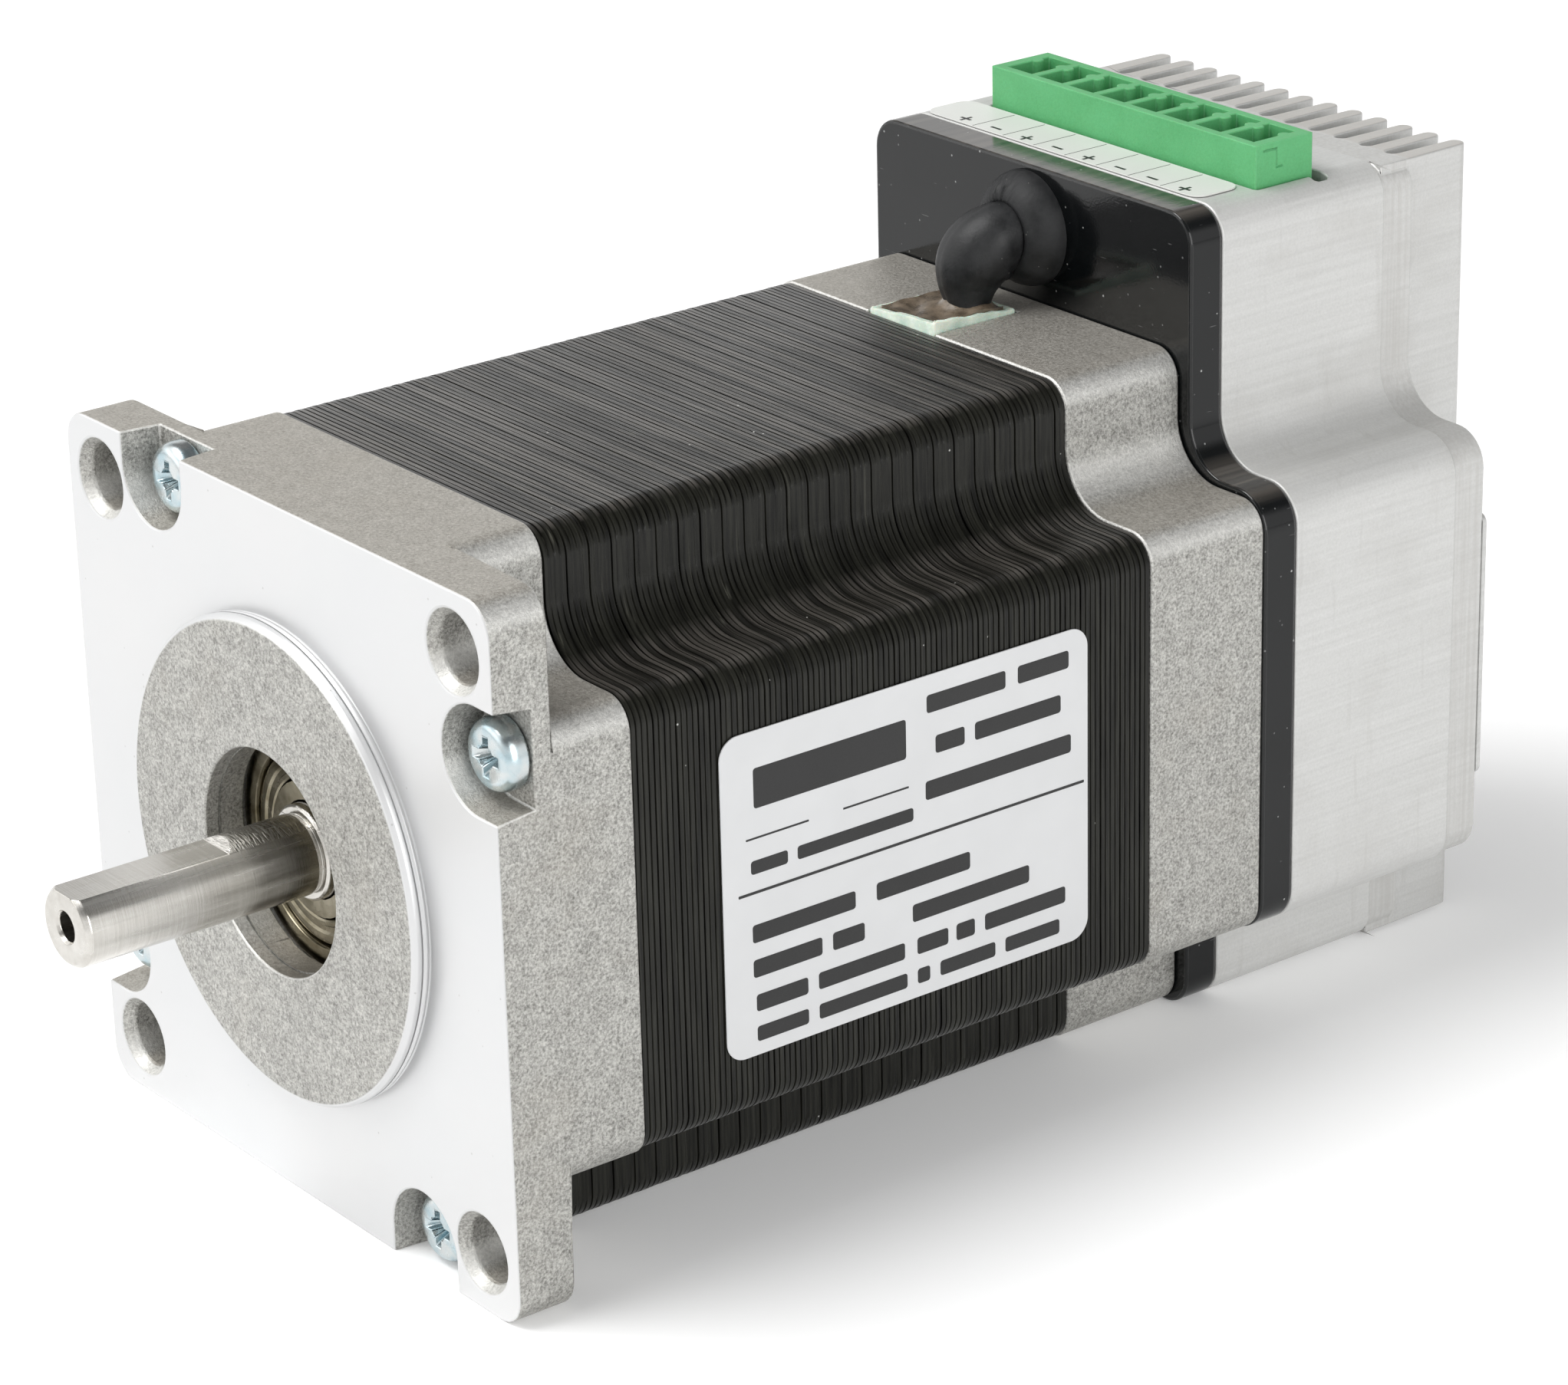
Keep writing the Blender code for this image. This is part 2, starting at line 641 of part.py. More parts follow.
def build_housing():
    rim = 0.25
    housing = node("driver_housing",
                   prism(new(), stepped_outline(**DRIVER), Y_HOUSING, Y_STEP), HOUSING)
    add(housing, prism(new(), stepped_outline(**DRIVER, inset=rim), Y_STEP - 1, Y_BACK))
    comb = fin_outline()
    z0, z1 = -DRIVER["bottom"] + rim, DRIVER["top"] - rim
    add(housing, loft(new(), [[(x, y, z) for x, y in comb] for z in (z0, z1)]))
    pads = box(new(), -27.85, -19.6, Y_BACK - 1, Y_BACK + 0.6, -11.3, 11.3)
    box(pads, 19.6, 27.85, Y_BACK - 1, Y_BACK + 0.6, -11.3, 11.3)
    add(housing, pads)
    cut(housing, prism(new(), stepped_outline(**DRIVER, inset=WALL_T), Y_HOUSING - 1, BASE_INSIDE))
    columns = new()
    for x, z in HOUSING_SCREWS:
        rod(columns, 3.1, Y_HOUSING + 0.1, BASE_INSIDE + 0.5, (x, z), 20)
    for x, z in BOARD_SCREWS:
        rod(columns, 2.4, POWER_Y + BOARD_T + GAP, BASE_INSIDE + 0.5, (x, z), 16)
    add(housing, columns)
    openings = box(new(), -15.2, 18.1, 80.9, 88.6, 35, 41)
    box(openings, -4.4, 4.4, Y_HOUSING - 1, 77.6, 35, 38.2)
    for x, z in HOUSING_SCREWS:
        turned(openings, [(0, Y_HOUSING - 1), (1.7, Y_HOUSING - 1), (1.7, 94.2), (3.1, 94.2),
                          (3.1, Y_BACK + 2), (0, Y_BACK + 2)], 16, (x, z))
    for x, z in BOARD_SCREWS:
        rod(openings, 1.15, 88, 94.6, (x, z), 12)
    cut(housing, openings)
    screw = turned(new(), [(0, 73.4), (SCREW_R, 73.4), (SCREW_R, 94.25), (2.75, 94.25),
                           (2.75, 96.2), (2.2, 96.6), (0, 96.6)], 16)
    for made in copies("housing_screw", screw, ZINC, HOUSING_SCREWS):
        cut(made, prism(new(), arc(0, 0, 1.45, 0, 360, 6)[:-1], 95.1, 98))


def build_boards():
    def board(name, y0, z0, z1):
        outline = box(new(), -BOARD_HALF_X, BOARD_HALF_X, y0, y0 + BOARD_T, z0, z1)
        return node(name, outline, BOARD)

    control = board("control_board", CONTROL_Y, -25.0, 36.0)
    pin_holes = new()
    for way in range(WAYS):
        rod(pin_holes, 0.6, CONTROL_Y - 1, CONTROL_Y + BOARD_T + 1, (pin_x(way), PIN_Z), 8)
    cut(control, pin_holes)
    power = board("power_board", POWER_Y, -25.0, 29.0)
    screw_holes = new()
    for spot in BOARD_SCREWS:
        rod(screw_holes, 1.3, POWER_Y - 1, POWER_Y + BOARD_T + 1, spot, 12)
    cut(power, screw_holes)
    seat = POWER_Y - 0.05
    screw = turned(new(), [(0, seat - 1.6), (1.9, seat - 1.6), (2.2, seat - 1.3), (2.2, seat),
                           (1.0, seat), (1.0, 94.0), (0, 94.0)], 12)
    copies("board_screw", screw, ZINC, BOARD_SCREWS)
    near, far = CONTROL_Y + BOARD_T + GAP, POWER_Y - GAP
    node("board_connector", box(new(), -8, 8, near, far, 20, 24.5), BLACK_PLASTIC)
    chip = rounded_box(-5, 5, 4, 14, 0.4, 2)
    node("controller_chip", prism(new(), chip, near, near + 1.4), BLACK_PLASTIC)
    can = arc(0, (near + far) / 2, (far - near) / 2 - 0.15, 0, 360, 28)[:-1]
    node("capacitor", loft(new(), [[(x, y, z) for x, y in can] for z in (-17, -1)]), CAN)
    back = POWER_Y + BOARD_T + GAP
    node("power_module", box(new(), -12, 12, back, back + 2.3, -16, 4), BLACK_PLASTIC)
    node("thermal_pad", box(new(), -12, 12, back + 2.4, BASE_INSIDE - 0.05, -16, 4), PAD)


# ---------------------------------------------------------------- terminals and labels

def pin_x(way):
    return HEADER_MID + (way - (WAYS - 1) / 2) * PITCH


def build_header():
    h = HEADER
    header = node("terminal_header",
                  box(new(), h["x0"], h["x1"], h["y0"], h["y1"], h["z0"], h["z1"]), GREEN)
    front, back, floor = h["y0"] + 0.8, h["y1"] - 0.8, h["z0"] + 1.4
    cavities = new()
    for i in range(WAYS):
        x = pin_x(i)
        half, key = 1.5, 0.95
        outline = [(x - half, front), (x + half, front), (x + half, back - 1.5), (x + key, back - 1.1),
                   (x + half, back - 0.7), (x + half, back), (x - half, back), (x - half, back - 0.7),
                   (x - key, back - 1.1), (x - half, back - 1.5)]
        loft(cavities, [[(px, py, z) for px, py in outline] for z in (floor, h["z1"] + 1)])
    cut(header, cavities)
    slots = new()
    for i in range(WAYS):
        x = pin_x(i)
        box(slots, x - 0.5, x + 0.5, PIN_Y - 0.5, PIN_Y + 0.5, h["z0"] - 1, floor + 0.5)
    cut(header, slots)


def build_pins():
    """Eight L-shaped pins: up through the header, and back into the control board."""
    half, tail, top = 0.32, CONTROL_Y - 0.3, 40.2
    bend = [(tail, -half), (PIN_Y + half, -half), (PIN_Y + half, top - PIN_Z),
            (PIN_Y - half, top - PIN_Z), (PIN_Y - half, half), (tail, half)]
    pin = loft(new(), [[(x, y, z) for y, z in bend] for x in (-half, half)])
    copies("header_pin", pin, TIN, [(pin_x(way), PIN_Z) for way in range(WAYS)])


def build_labels():
    thick, lift = 0.12, 0.05
    strip = rounded_box(-14.6, 16.4, Y_HOUSING + 0.25, 80.8, 1.3)
    z0 = DRIVER["top"] + lift
    node("terminal_label", loft(new(), [[(x, y, z) for x, y in strip] for z in (z0, z0 + thick)]),
         LABEL)
    face = HALF_BODY - STACK_INSET + lift
    panel = rounded_box(19.4, 54.3, -12.9, 12.9, 1.7)
    node("side_label", loft(new(), [[(x, y, z) for y, z in panel] for x in (face, face + thick)]),
         LABEL)


# ---------------------------------------------------------------- assembly

clear_scene()
FRAME = make_frame()
build_front_bell()
build_stack()
build_rear_bell()
build_motor_screws()
build_coils()
build_insulator("front_insulator", Y_STACK - 0.75, Y_STACK)
build_insulator("rear_insulator", Y_REAR + GAP, Y_REAR + 0.85)
build_shaft()
build_rotor()
build_bearing("front_bearing", FRONT_BEARING_Y)
build_bearing("rear_bearing", REAR_BEARING_Y)
build_shield("front_bearing_shield", FRONT_BEARING_Y + 0.2)
build_wave_washer()
build_lead_exit()
build_plate()
build_housing()
build_boards()
build_header()
build_pins()
build_labels()
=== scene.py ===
"""The looks of the stepper motor with its driver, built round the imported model.

Shapes are drawn in millimetres in the motor frame. Its origin is the centre of the mounting face on
the shaft axis: +X right, +Y towards the driver, +Z up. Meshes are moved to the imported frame.
"""
import random
from math import asin, atan2, cos, degrees, exp, hypot, pi, radians, sin, sqrt

import bmesh
import bpy
from mathutils import Matrix, Vector


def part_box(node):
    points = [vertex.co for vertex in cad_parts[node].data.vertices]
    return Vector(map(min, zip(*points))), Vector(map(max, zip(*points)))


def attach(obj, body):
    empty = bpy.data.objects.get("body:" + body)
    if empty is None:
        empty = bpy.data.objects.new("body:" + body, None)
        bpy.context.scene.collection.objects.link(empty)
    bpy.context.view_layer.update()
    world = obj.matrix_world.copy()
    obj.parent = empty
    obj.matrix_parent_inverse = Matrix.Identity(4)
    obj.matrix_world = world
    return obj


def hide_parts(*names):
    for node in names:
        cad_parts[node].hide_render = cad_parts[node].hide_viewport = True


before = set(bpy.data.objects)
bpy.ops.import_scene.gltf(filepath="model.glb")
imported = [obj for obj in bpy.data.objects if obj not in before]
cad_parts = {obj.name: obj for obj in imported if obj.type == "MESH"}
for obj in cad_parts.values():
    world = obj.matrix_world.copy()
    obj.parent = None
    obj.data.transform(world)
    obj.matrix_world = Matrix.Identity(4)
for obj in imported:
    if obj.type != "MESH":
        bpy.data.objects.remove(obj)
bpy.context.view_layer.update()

MM = 0.001

# The motor frame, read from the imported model
PILOT_H = 1.6
FACE_LOW, FACE_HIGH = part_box("front_end_bell")
HALF_FLANGE = (FACE_HIGH.x - FACE_LOW.x) / 2 / MM
ORIGIN = Vector((0, FACE_LOW.y + PILOT_H * MM, HALF_FLANGE * MM))

# Castings, stations along the shaft axis, and outlines, as in the solids
FLANGE_T = 4.9
FLANGE_CORNER = 2.6
PILOT_R = 19.05
PILOT_CHAMFER = 0.35
BOLT_HALF = 23.57
BOLT_R = 2.6
BOLT_MOUTH_R = 3.25
BOLT_MOUTH_DEPTH = 0.9
OVERLAP = 1.0
Y_TIP = -19.05
Y_STACK = 11.7
Y_REAR = 60.7
Y_PLATE = 72.4
Y_HOUSING = 75.75
Y_STEP = 92.9
Y_BACK = 96.2
Y_FINS = 103.0
BASE_INSIDE = 92.4
GAP = 0.1
FIT = 0.15
BODY = dict(half=28.05, ledge=18.15, wall=18.15, top=28.05, bottom=28.05,
            fillet=4.65, side_r=2.45, top_r=2.45)
DRIVER = dict(half=28.15, ledge=18.55, wall=19.35, top=39.1, bottom=28.15,
              fillet=4.1, side_r=3.2, top_r=2.6)
STACK_INSET = 0.1
WALL_T = 2.2
STRIP_INSET = 0.25

SCREW_AT = (25.2, 15.8)
POCKET_AT = (25.8, 16.0)
POCKET_R = 4.2
POCKET_DRAFT = 0.4
POCKET_DEPTH = 3.3
SCREW_R = 1.5
SCREW_HEAD_R = 2.8
SCREW_HEAD_H = 2.0
SCREW_END = 66.8

SHAFT_R = 3.175
SHAFT_FLAT = 2.63
FLAT_END = -6.0
RUNOUT = 0.9
SEAT_R = 3.75
CORE_SEAT_R = 4.5
SHOULDER_Y = 1.2
BORE_R = 8.9
BEARING_R = 9.5
FRONT_BEARING_Y = 2.2
REAR_BEARING_Y = 63.7
RACE_IN_R = 5.35

POLES = 8
POLE_HALF = 3.2
POLE_TIP_R = 17.15
YOKE_R = 23.5
SHOE_DEG = 16.5
CAVITY_R = 25.5
HUB_R = 12.6
FRONT_HUB = dict(mouth=Y_STACK, floor=5.4, hub_end=8.9, pocket_floor=1.9)
REAR_HUB = dict(mouth=Y_REAR + GAP, floor=67.0, hub_end=63.4, pocket_floor=70.9)
TOOTH_DEG = 7.2

FIN_COUNT = 13
FIN_PITCH = 2.93
FIN_T = 1.5
HOUSING_SCREWS = ((-23.6, 0.0), (23.6, 0.0))
PLATE_SCREWS = ((-15.5, 15.5), (15.5, -15.5))
BOARD_SCREWS = ((-13.6, -21.0), (13.6, 21.0))
POWER_BACK = 89.2

PITCH = 3.81
WAYS = 8
HEADER = dict(x0=-14.9, x1=17.0, y0=81.2, y1=87.25, z0=33.2, z1=42.5)
HEADER_SLOT = (-15.1, 17.2, 81.0, 88.2)
SLOT_CORNER = (16.0, 18.0, 86.7, 88.15)
PIN_Y = 84.1
GROMMET_Z = 33.9
GROMMET_R = 4.75
LINER = dict(x0=-6.0, x1=2.2, y0=Y_REAR + GAP, y1=69.3, z0=25.6, z1=29.0)
LINER_T = 0.65
LABEL_T = 0.12
LABEL_LIFT = 0.05


# ---- outlines and skins

def arc(cx, cz, r, start, end, count):
    """count + 1 points of an arc, angles in degrees from +X towards +Z."""
    step = (end - start) / count
    angles = [radians(start + i * step) for i in range(count + 1)]
    return [(cx + r * cos(a), cz + r * sin(a)) for a in angles]


def polar(r, angle):
    angle = radians(angle)
    return r * cos(angle), r * sin(angle)


def stepped_outline(half, ledge, wall, top, bottom, fillet, side_r, top_r, inset=0.0):
    """A cross with S-shaped corners: wide for |z| < ledge, narrow (|x| < wall) up to top."""
    half, ledge, wall = half - inset, ledge - inset, wall - inset
    fillet, side_r, top_r = fillet + inset, side_r - inset, top_r - inset

    def quadrant(height):
        height -= inset
        return (arc(half - side_r, ledge - side_r, side_r, 0, 90, 10)
                + arc(wall + fillet, ledge + fillet, fillet, 270, 180, 12)
                + arc(wall - top_r, height - top_r, top_r, 0, 90, 10))

    upper, lower = quadrant(top), quadrant(bottom)
    return (upper + [(-x, z) for x, z in reversed(upper)]
            + [(-x, -z) for x, z in lower] + [(x, -z) for x, z in reversed(lower)])


def rounded_box(x0, x1, z0, z1, r, count=8):
    return (arc(x1 - r, z1 - r, r, 0, 90, count) + arc(x0 + r, z1 - r, r, 90, 180, count)
            + arc(x0 + r, z0 + r, r, 180, 270, count) + arc(x1 - r, z0 + r, r, 270, 360, count))


def quarter_turned(point, turns):
    x, z = point
    for _ in range(turns):
        x, z = -z, x
    return x, z


def new():
    return bmesh.new()


def band(bm, near, far):
    """Quads between two loops of vertices."""
    for i in range(len(near)):
        j = (i + 1) % len(near)
        bm.faces.new((near[i], near[j], far[j], far[i]))


def loops_of(bm, rings):
    return [[bm.verts.new(p) for p in ring] for ring in rings]


def loft(bm, rings):
    """Closed skin through rings of 3-D points that all have the same count."""
    loops = loops_of(bm, rings)
    for near, far in zip(loops, loops[1:]):
        band(bm, near, far)
    bm.faces.new(loops[0])
    bm.faces.new(list(reversed(loops[-1])))
    return bm


def prism(bm, outline, y0, y1, far_outline=None):
    far = far_outline or outline
    return loft(bm, [[(x, y0, z) for x, z in outline], [(x, y1, z) for x, z in far]])


def box(bm, x0, x1, y0, y1, z0, z1):
    return prism(bm, [(x0, z0), (x1, z0), (x1, z1), (x0, z1)], y0, y1)


def upright_slab(bm, outline, x0, x1):
    """A prism across the motor; the outline is in y and z."""
    return loft(bm, [[(x, y, z) for y, z in outline] for x in (x0, x1)])


def flat_slab(bm, outline, z0, z1):
    """A prism standing up; the outline is in x and y."""
    return loft(bm, [[(x, y, z) for x, y in outline] for z in (z0, z1)])


def turned(bm, profile, count=96, centre=(0, 0)):
    """A profile of (radius, y) turned about the shaft's direction; radius 0 closes an end."""
    cx, cz = centre
    rings = []
    for r, y in profile:
        if r == 0:
            rings.append([bm.verts.new((cx, y, cz))])
        else:
            rings.append([bm.verts.new((x, y, z)) for x, z in arc(cx, cz, r, 0, 360, count)[:-1]])
    closed = profile[0][0] != 0
    pairs = list(zip(rings, rings[1:])) + ([(rings[-1], rings[0])] if closed else [])
    for near, far in pairs:
        for i in range(count):
            j = (i + 1) % count
            corners = [ring[k % len(ring)] for ring, k in ((near, i), (near, j), (far, j), (far, i))]
            bm.faces.new(list(dict.fromkeys(corners)))
    return bm


def rod(bm, r, y0, y1, centre=(0, 0), count=48):
    return turned(bm, [(0, y0), (r, y0), (r, y1), (0, y1)], count, centre)


def curve_through(points, steps):
    """A smooth Catmull-Rom path through points, each a tuple of any length."""
    out = []
    for i in range(len(points) - 1):
        p0, p1, p2, p3 = (points[max(0, min(len(points) - 1, i + k))] for k in (-1, 0, 1, 2))
        for step in range(steps):
            t = step / steps
            out.append(tuple(0.5 * (2 * b + (c - a) * t + (2 * a - 5 * b + 4 * c - d) * t * t
                                    + (3 * b - a - 3 * c + d) * t ** 3)
                             for a, b, c, d in zip(p0, p1, p2, p3)))
    return out + [tuple(points[-1])]


# ---- meshes and pieces

def mesh_of(name, bm, sharp=32):
    """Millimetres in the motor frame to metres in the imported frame."""
    bmesh.ops.recalc_face_normals(bm, faces=bm.faces)
    bmesh.ops.transform(bm, matrix=Matrix.Translation(ORIGIN) @ Matrix.Scale(MM, 4), verts=bm.verts)
    for face in bm.faces:
        face.smooth = True
    mesh = bpy.data.meshes.new(name)
    bm.to_mesh(mesh)
    bm.free()
    mesh.set_sharp_from_angle(angle=radians(sharp))
    return mesh


def link(name, data):
    item = bpy.data.objects.new(name, data)
    bpy.context.scene.collection.objects.link(item)
    return item


def carved(name, base, steps, sharp=32):
    """A base solid after its steps, each a sign and a solid: "+" joins and "-" cuts."""
    item = link(name, mesh_of(name, base))
    helpers = []
    for sign, bm in steps:
        helpers.append(link(name + "_tool", mesh_of(name + "_tool", bm)))
        modifier = item.modifiers.new("step", "BOOLEAN")
        modifier.operation = "UNION" if sign == "+" else "DIFFERENCE"
        modifier.object = helpers[-1]
    bpy.context.view_layer.update()
    graph = bpy.context.evaluated_depsgraph_get()
    mesh = bpy.data.meshes.new_from_object(item.evaluated_get(graph))
    mesh.name = name
    mesh.materials.clear()
    for extra in helpers + [item]:
        bpy.data.objects.remove(extra, do_unlink=True)
    mesh.set_sharp_from_angle(angle=radians(sharp))
    return mesh


def piece(name, mesh, surface, slot, *replaced, body="root"):
    item = link(name, mesh if isinstance(mesh, bpy.types.Mesh) else mesh_of(name, mesh))
    item.data.materials.append(surface)
    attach(item, body)
    if replaced:
        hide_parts(*replaced)
    return item


def soften(item, width, segments=2, angle=35):
    """Small rounds on the edges, with flat faces kept flat in shading."""
    bevel = item.modifiers.new("edges", "BEVEL")
    bevel.width = width * MM
    bevel.segments = segments
    bevel.limit_method = "ANGLE"
    bevel.angle_limit = radians(angle)
    bevel.use_clamp_overlap = False
    normals = item.modifiers.new("normals", "WEIGHTED_NORMAL")
    normals.keep_sharp = True
    return item


# ---- material nodes

class Nodes:
    """Short names for the nodes of one tree."""

    def __init__(self, tree):
        self.tree = tree

    def plug(self, socket, value):
        if isinstance(value, bpy.types.NodeSocket):
            self.tree.links.new(value, socket)
        else:
            socket.default_value = value

    def add(self, kind, sockets=None, **settings):
        """A node with its settings, and values or links for its input sockets."""
        made = self.tree.nodes.new("ShaderNode" + kind)
        for key, value in settings.items():
            setattr(made, key, value)
        for socket, value in (sockets or {}).items():
            self.plug(made.inputs[socket], value)
        return made

    def vector(self, operation, a, b=(0, 0, 0), scale=1.0):
        made = self.add("VectorMath", {0: a, 1: b, 3: scale}, operation=operation)
        return made.outputs["Value" if operation in ("LENGTH", "DOT_PRODUCT") else "Vector"]

    def split(self, vector):
        return self.add("SeparateXYZ", {0: vector}).outputs

    def math(self, operation, a, b=0.0):
        return self.add("Math", {0: a, 1: b}, operation=operation).outputs[0]

    def times(self, a, b):
        return self.math("MULTIPLY", a, b)

    def between(self, value, low, high, to_low=0.0, to_high=1.0, **settings):
        """A value's range from low to high, turned into another range."""
        sockets = {"Value": value, "From Min": low, "From Max": high, "To Min": to_low,
                   "To Max": to_high}
        return self.add("MapRange", sockets, clamp=True, **settings).outputs["Result"]

    def spread(self, pattern, low=0.0, high=1.0):
        """The middle range of a noise, stretched from low to high."""
        return self.between(pattern, 0.3, 0.7, low, high)


class Surface(Nodes):
    """A procedural material. Its patterns are drawn in millimetres in the motor frame."""

    def __init__(self, name, **constants):
        self.material = bpy.data.materials.new(name)
        self.material.use_nodes = True
        super().__init__(self.material.node_tree)
        self.shader = self.tree.nodes["Principled BSDF"]
        for socket, value in constants.items():
            self.shader.inputs[socket.replace("_", " ")].default_value = value
        coordinates = self.add("TexCoord").outputs["Object"]
        self.place = self.vector("SCALE", self.vector("SUBTRACT", coordinates, tuple(ORIGIN)),
                                 scale=1 / MM)
        self.x, self.y, self.z = self.split(self.place)

    def noise(self, per_mm, detail=2.0, rough=0.5, stretch=(1, 1, 1)):
        stretched = self.vector("MULTIPLY", self.place, stretch)
        return self.add("TexNoise", {"Vector": stretched, "Scale": per_mm, "Detail": detail,
                                     "Roughness": rough}).outputs["Fac"]

    def dots(self, per_mm, inner, outer):
        """1 within the inner distance of scattered points, fading to 0 at the outer distance."""
        made = self.add("TexVoronoi", {"Vector": self.place, "Scale": per_mm})
        return self.between(made.outputs["Distance"], outer, inner)

    def mix(self, amount, a, b):
        """A colour between a and b, each a link or a tuple."""
        a, b = ((*c, 1) if isinstance(c, tuple) else c for c in (a, b))
        return self.add("Mix", {0: amount, 6: a, 7: b}, data_type="RGBA").outputs[2]

    def blend(self, amount, a, b):
        """A number between a and b."""
        return self.add("Mix", {0: amount, 2: a, 3: b}, data_type="FLOAT").outputs[0]

    def tint(self, colour, over, mask, share):
        """A colour with a share of another laid over it where the mask is 1."""
        return self.mix(self.times(mask, share), colour, over)

    def radius(self):
        return self.vector("LENGTH", self.vector("MULTIPLY", self.place, (1, 0, 1)))

    def sharp_edge_mask(self, width):
        """1 on sharp edges and 0 on flats, from how far rounding would tilt the normal."""
        rounded = self.add("Bevel", {"Radius": width * MM}, samples=4)
        true = self.add("NewGeometry").outputs["Normal"]
        return self.between(self.vector("DOT_PRODUCT", rounded.outputs[0], true), 0.99, 0.85)

    def facing_up(self):
        """How far the surface faces up, from -1 to 1."""
        return self.split(self.add("TexCoord").outputs["Normal"])["Z"]

    def bump(self, *layers):
        """Layers of (height, depth in mm), the finest last."""
        below = {}
        for height, depth in layers:
            made = self.add("Bump", {"Distance": depth * MM, "Height": height, **below})
            below = {"Normal": made.outputs[0]}
        self.plug(self.shader.inputs["Normal"], below["Normal"])

    def paint(self, colour, roughness, metallic=None):
        self.plug(self.shader.inputs["Base Color"], colour)
        self.plug(self.shader.inputs["Roughness"], roughness)
        if metallic is not None:
            self.plug(self.shader.inputs["Metallic"], metallic)
        return self.material


def grained(name, dark, light, per_mm, rough, depth, metallic=0.0):
    """A plain moulded, painted or ground surface with fine grain."""
    s = Surface(name, Metallic=metallic)
    grain = s.noise(per_mm, 3.0, 0.6)
    patches = s.noise(0.12, 2.0)
    s.bump((grain, depth))
    return s.paint(s.mix(s.spread(s.blend(0.6, patches, grain)), dark, light),
                   s.spread(patches, rough - 0.06, rough + 0.06))


def cast_surface(name, machined_face):
    """Bead-blasted casting. The front bell's flange face and pilot rim are machined bright."""
    s = Surface(name)
    grain = s.noise(4.0, 3.0, 0.85)
    lumps = s.noise(0.9, 3.0, 0.5)
    stains = s.noise(0.12, 3.0, 0.6)
    specks = s.dots(1.4, 0.05, 0.14)
    tops = s.between(s.facing_up(), 0.8, 0.97)
    colour = s.mix(s.between(s.blend(0.15, grain, lumps), 0.34, 0.66), (0.15, 0.147, 0.135),
                   (0.60, 0.594, 0.562))
    colour = s.mix(s.between(stains, 0.55, 0.8, 0.0, 0.25), colour, (0.36, 0.33, 0.28))
    # Painted shade: faces pointing up get a darker, warmer tint for the grazing light on them.
    colour = s.tint(colour, (0.50, 0.455, 0.39), tops, 0.4)
    # Painted highlight: faces sloping up towards the light are made paler.
    slopes = s.times(s.between(s.facing_up(), 0.15, 0.45), s.between(s.facing_up(), 0.93, 0.75))
    colour = s.tint(colour, (0.80, 0.795, 0.77), slopes, 0.45)
    colour = s.tint(colour, (0.75, 0.74, 0.71), specks, 0.25)
    rough_height = s.blend(0.3, grain, lumps)
    if not machined_face:
        s.bump((lumps, 0.03), (grain, 0.05))
        return s.paint(colour, s.spread(grain, 0.42, 0.58), 0.7)
    on_face = s.times(s.between(s.y, 0.12, 0.04), s.between(s.radius(), 18.62, 18.72))
    pits = s.dots(0.55, 0.03, 0.06)
    rings = s.noise(1.0, 2.0, 0.5, (0.02, 9.0, 0.02))
    smudges = s.noise(0.05, 3.0, 0.5)
    bright = s.mix(s.between(smudges, 0.35, 0.7), (0.61, 0.61, 0.61), (0.60, 0.605, 0.61))
    bright = s.tint(bright, (0.25, 0.24, 0.22), pits, 0.4)
    s.bump((s.blend(on_face, rough_height, s.times(rings, 0.06)), 0.08))
    return s.paint(s.mix(on_face, colour, bright),
                   s.blend(on_face, s.spread(grain, 0.42, 0.58), s.spread(smudges, 0.32, 0.42)),
                   s.blend(on_face, 0.7, 0.55))


def lamination_surface():
    s = Surface("laminations")
    lines = s.noise(1.0, 3.0, 0.7, (0.12, 3.1, 0.12))
    fine = s.noise(4.0, 2.0, 0.6)
    rubs = s.between(s.noise(1.0, 2.0, 0.5, (0.5, 2.4, 0.06)), 0.68, 0.8)
    patches = s.noise(0.08, 2.0)
    tops = s.between(s.math("ABSOLUTE", s.facing_up()), 0.8, 0.97)
    colour = s.mix(s.spread(lines), (0.001, 0.001, 0.0007), (0.021, 0.021, 0.0165))
    # Painted sheen: faces pointing up or down get a paler tint, banded along the stack, for the
    # bright room reflected in them.
    bands = s.between(s.noise(1.0, 2.0, 0.6, (0.05, 1.5, 0.05)), 0.42, 0.6)
    painted_top_sheen = s.mix(bands, (0.008, 0.007, 0.006), (0.092, 0.083, 0.074))
    colour = s.tint(colour, painted_top_sheen, tops, 0.65)
    dust = s.dots(0.35, 0.02, 0.035)
    colour = s.tint(colour, (0.5, 0.5, 0.47), dust, 0.8)
    colour = s.tint(colour, (0.10, 0.098, 0.08), rubs, 0.5)
    slopes = s.times(s.between(s.facing_up(), 0.1, 0.35), s.between(s.facing_up(), 0.97, 0.8))
    shine = s.blend(slopes, s.blend(tops, 0.22, 0.60), 0.12)
    s.plug(s.shader.inputs["Specular IOR Level"], shine)
    s.bump((lines, 0.05), (fine, 0.01))
    return s.paint(colour, s.spread(patches, 0.27, 0.36))


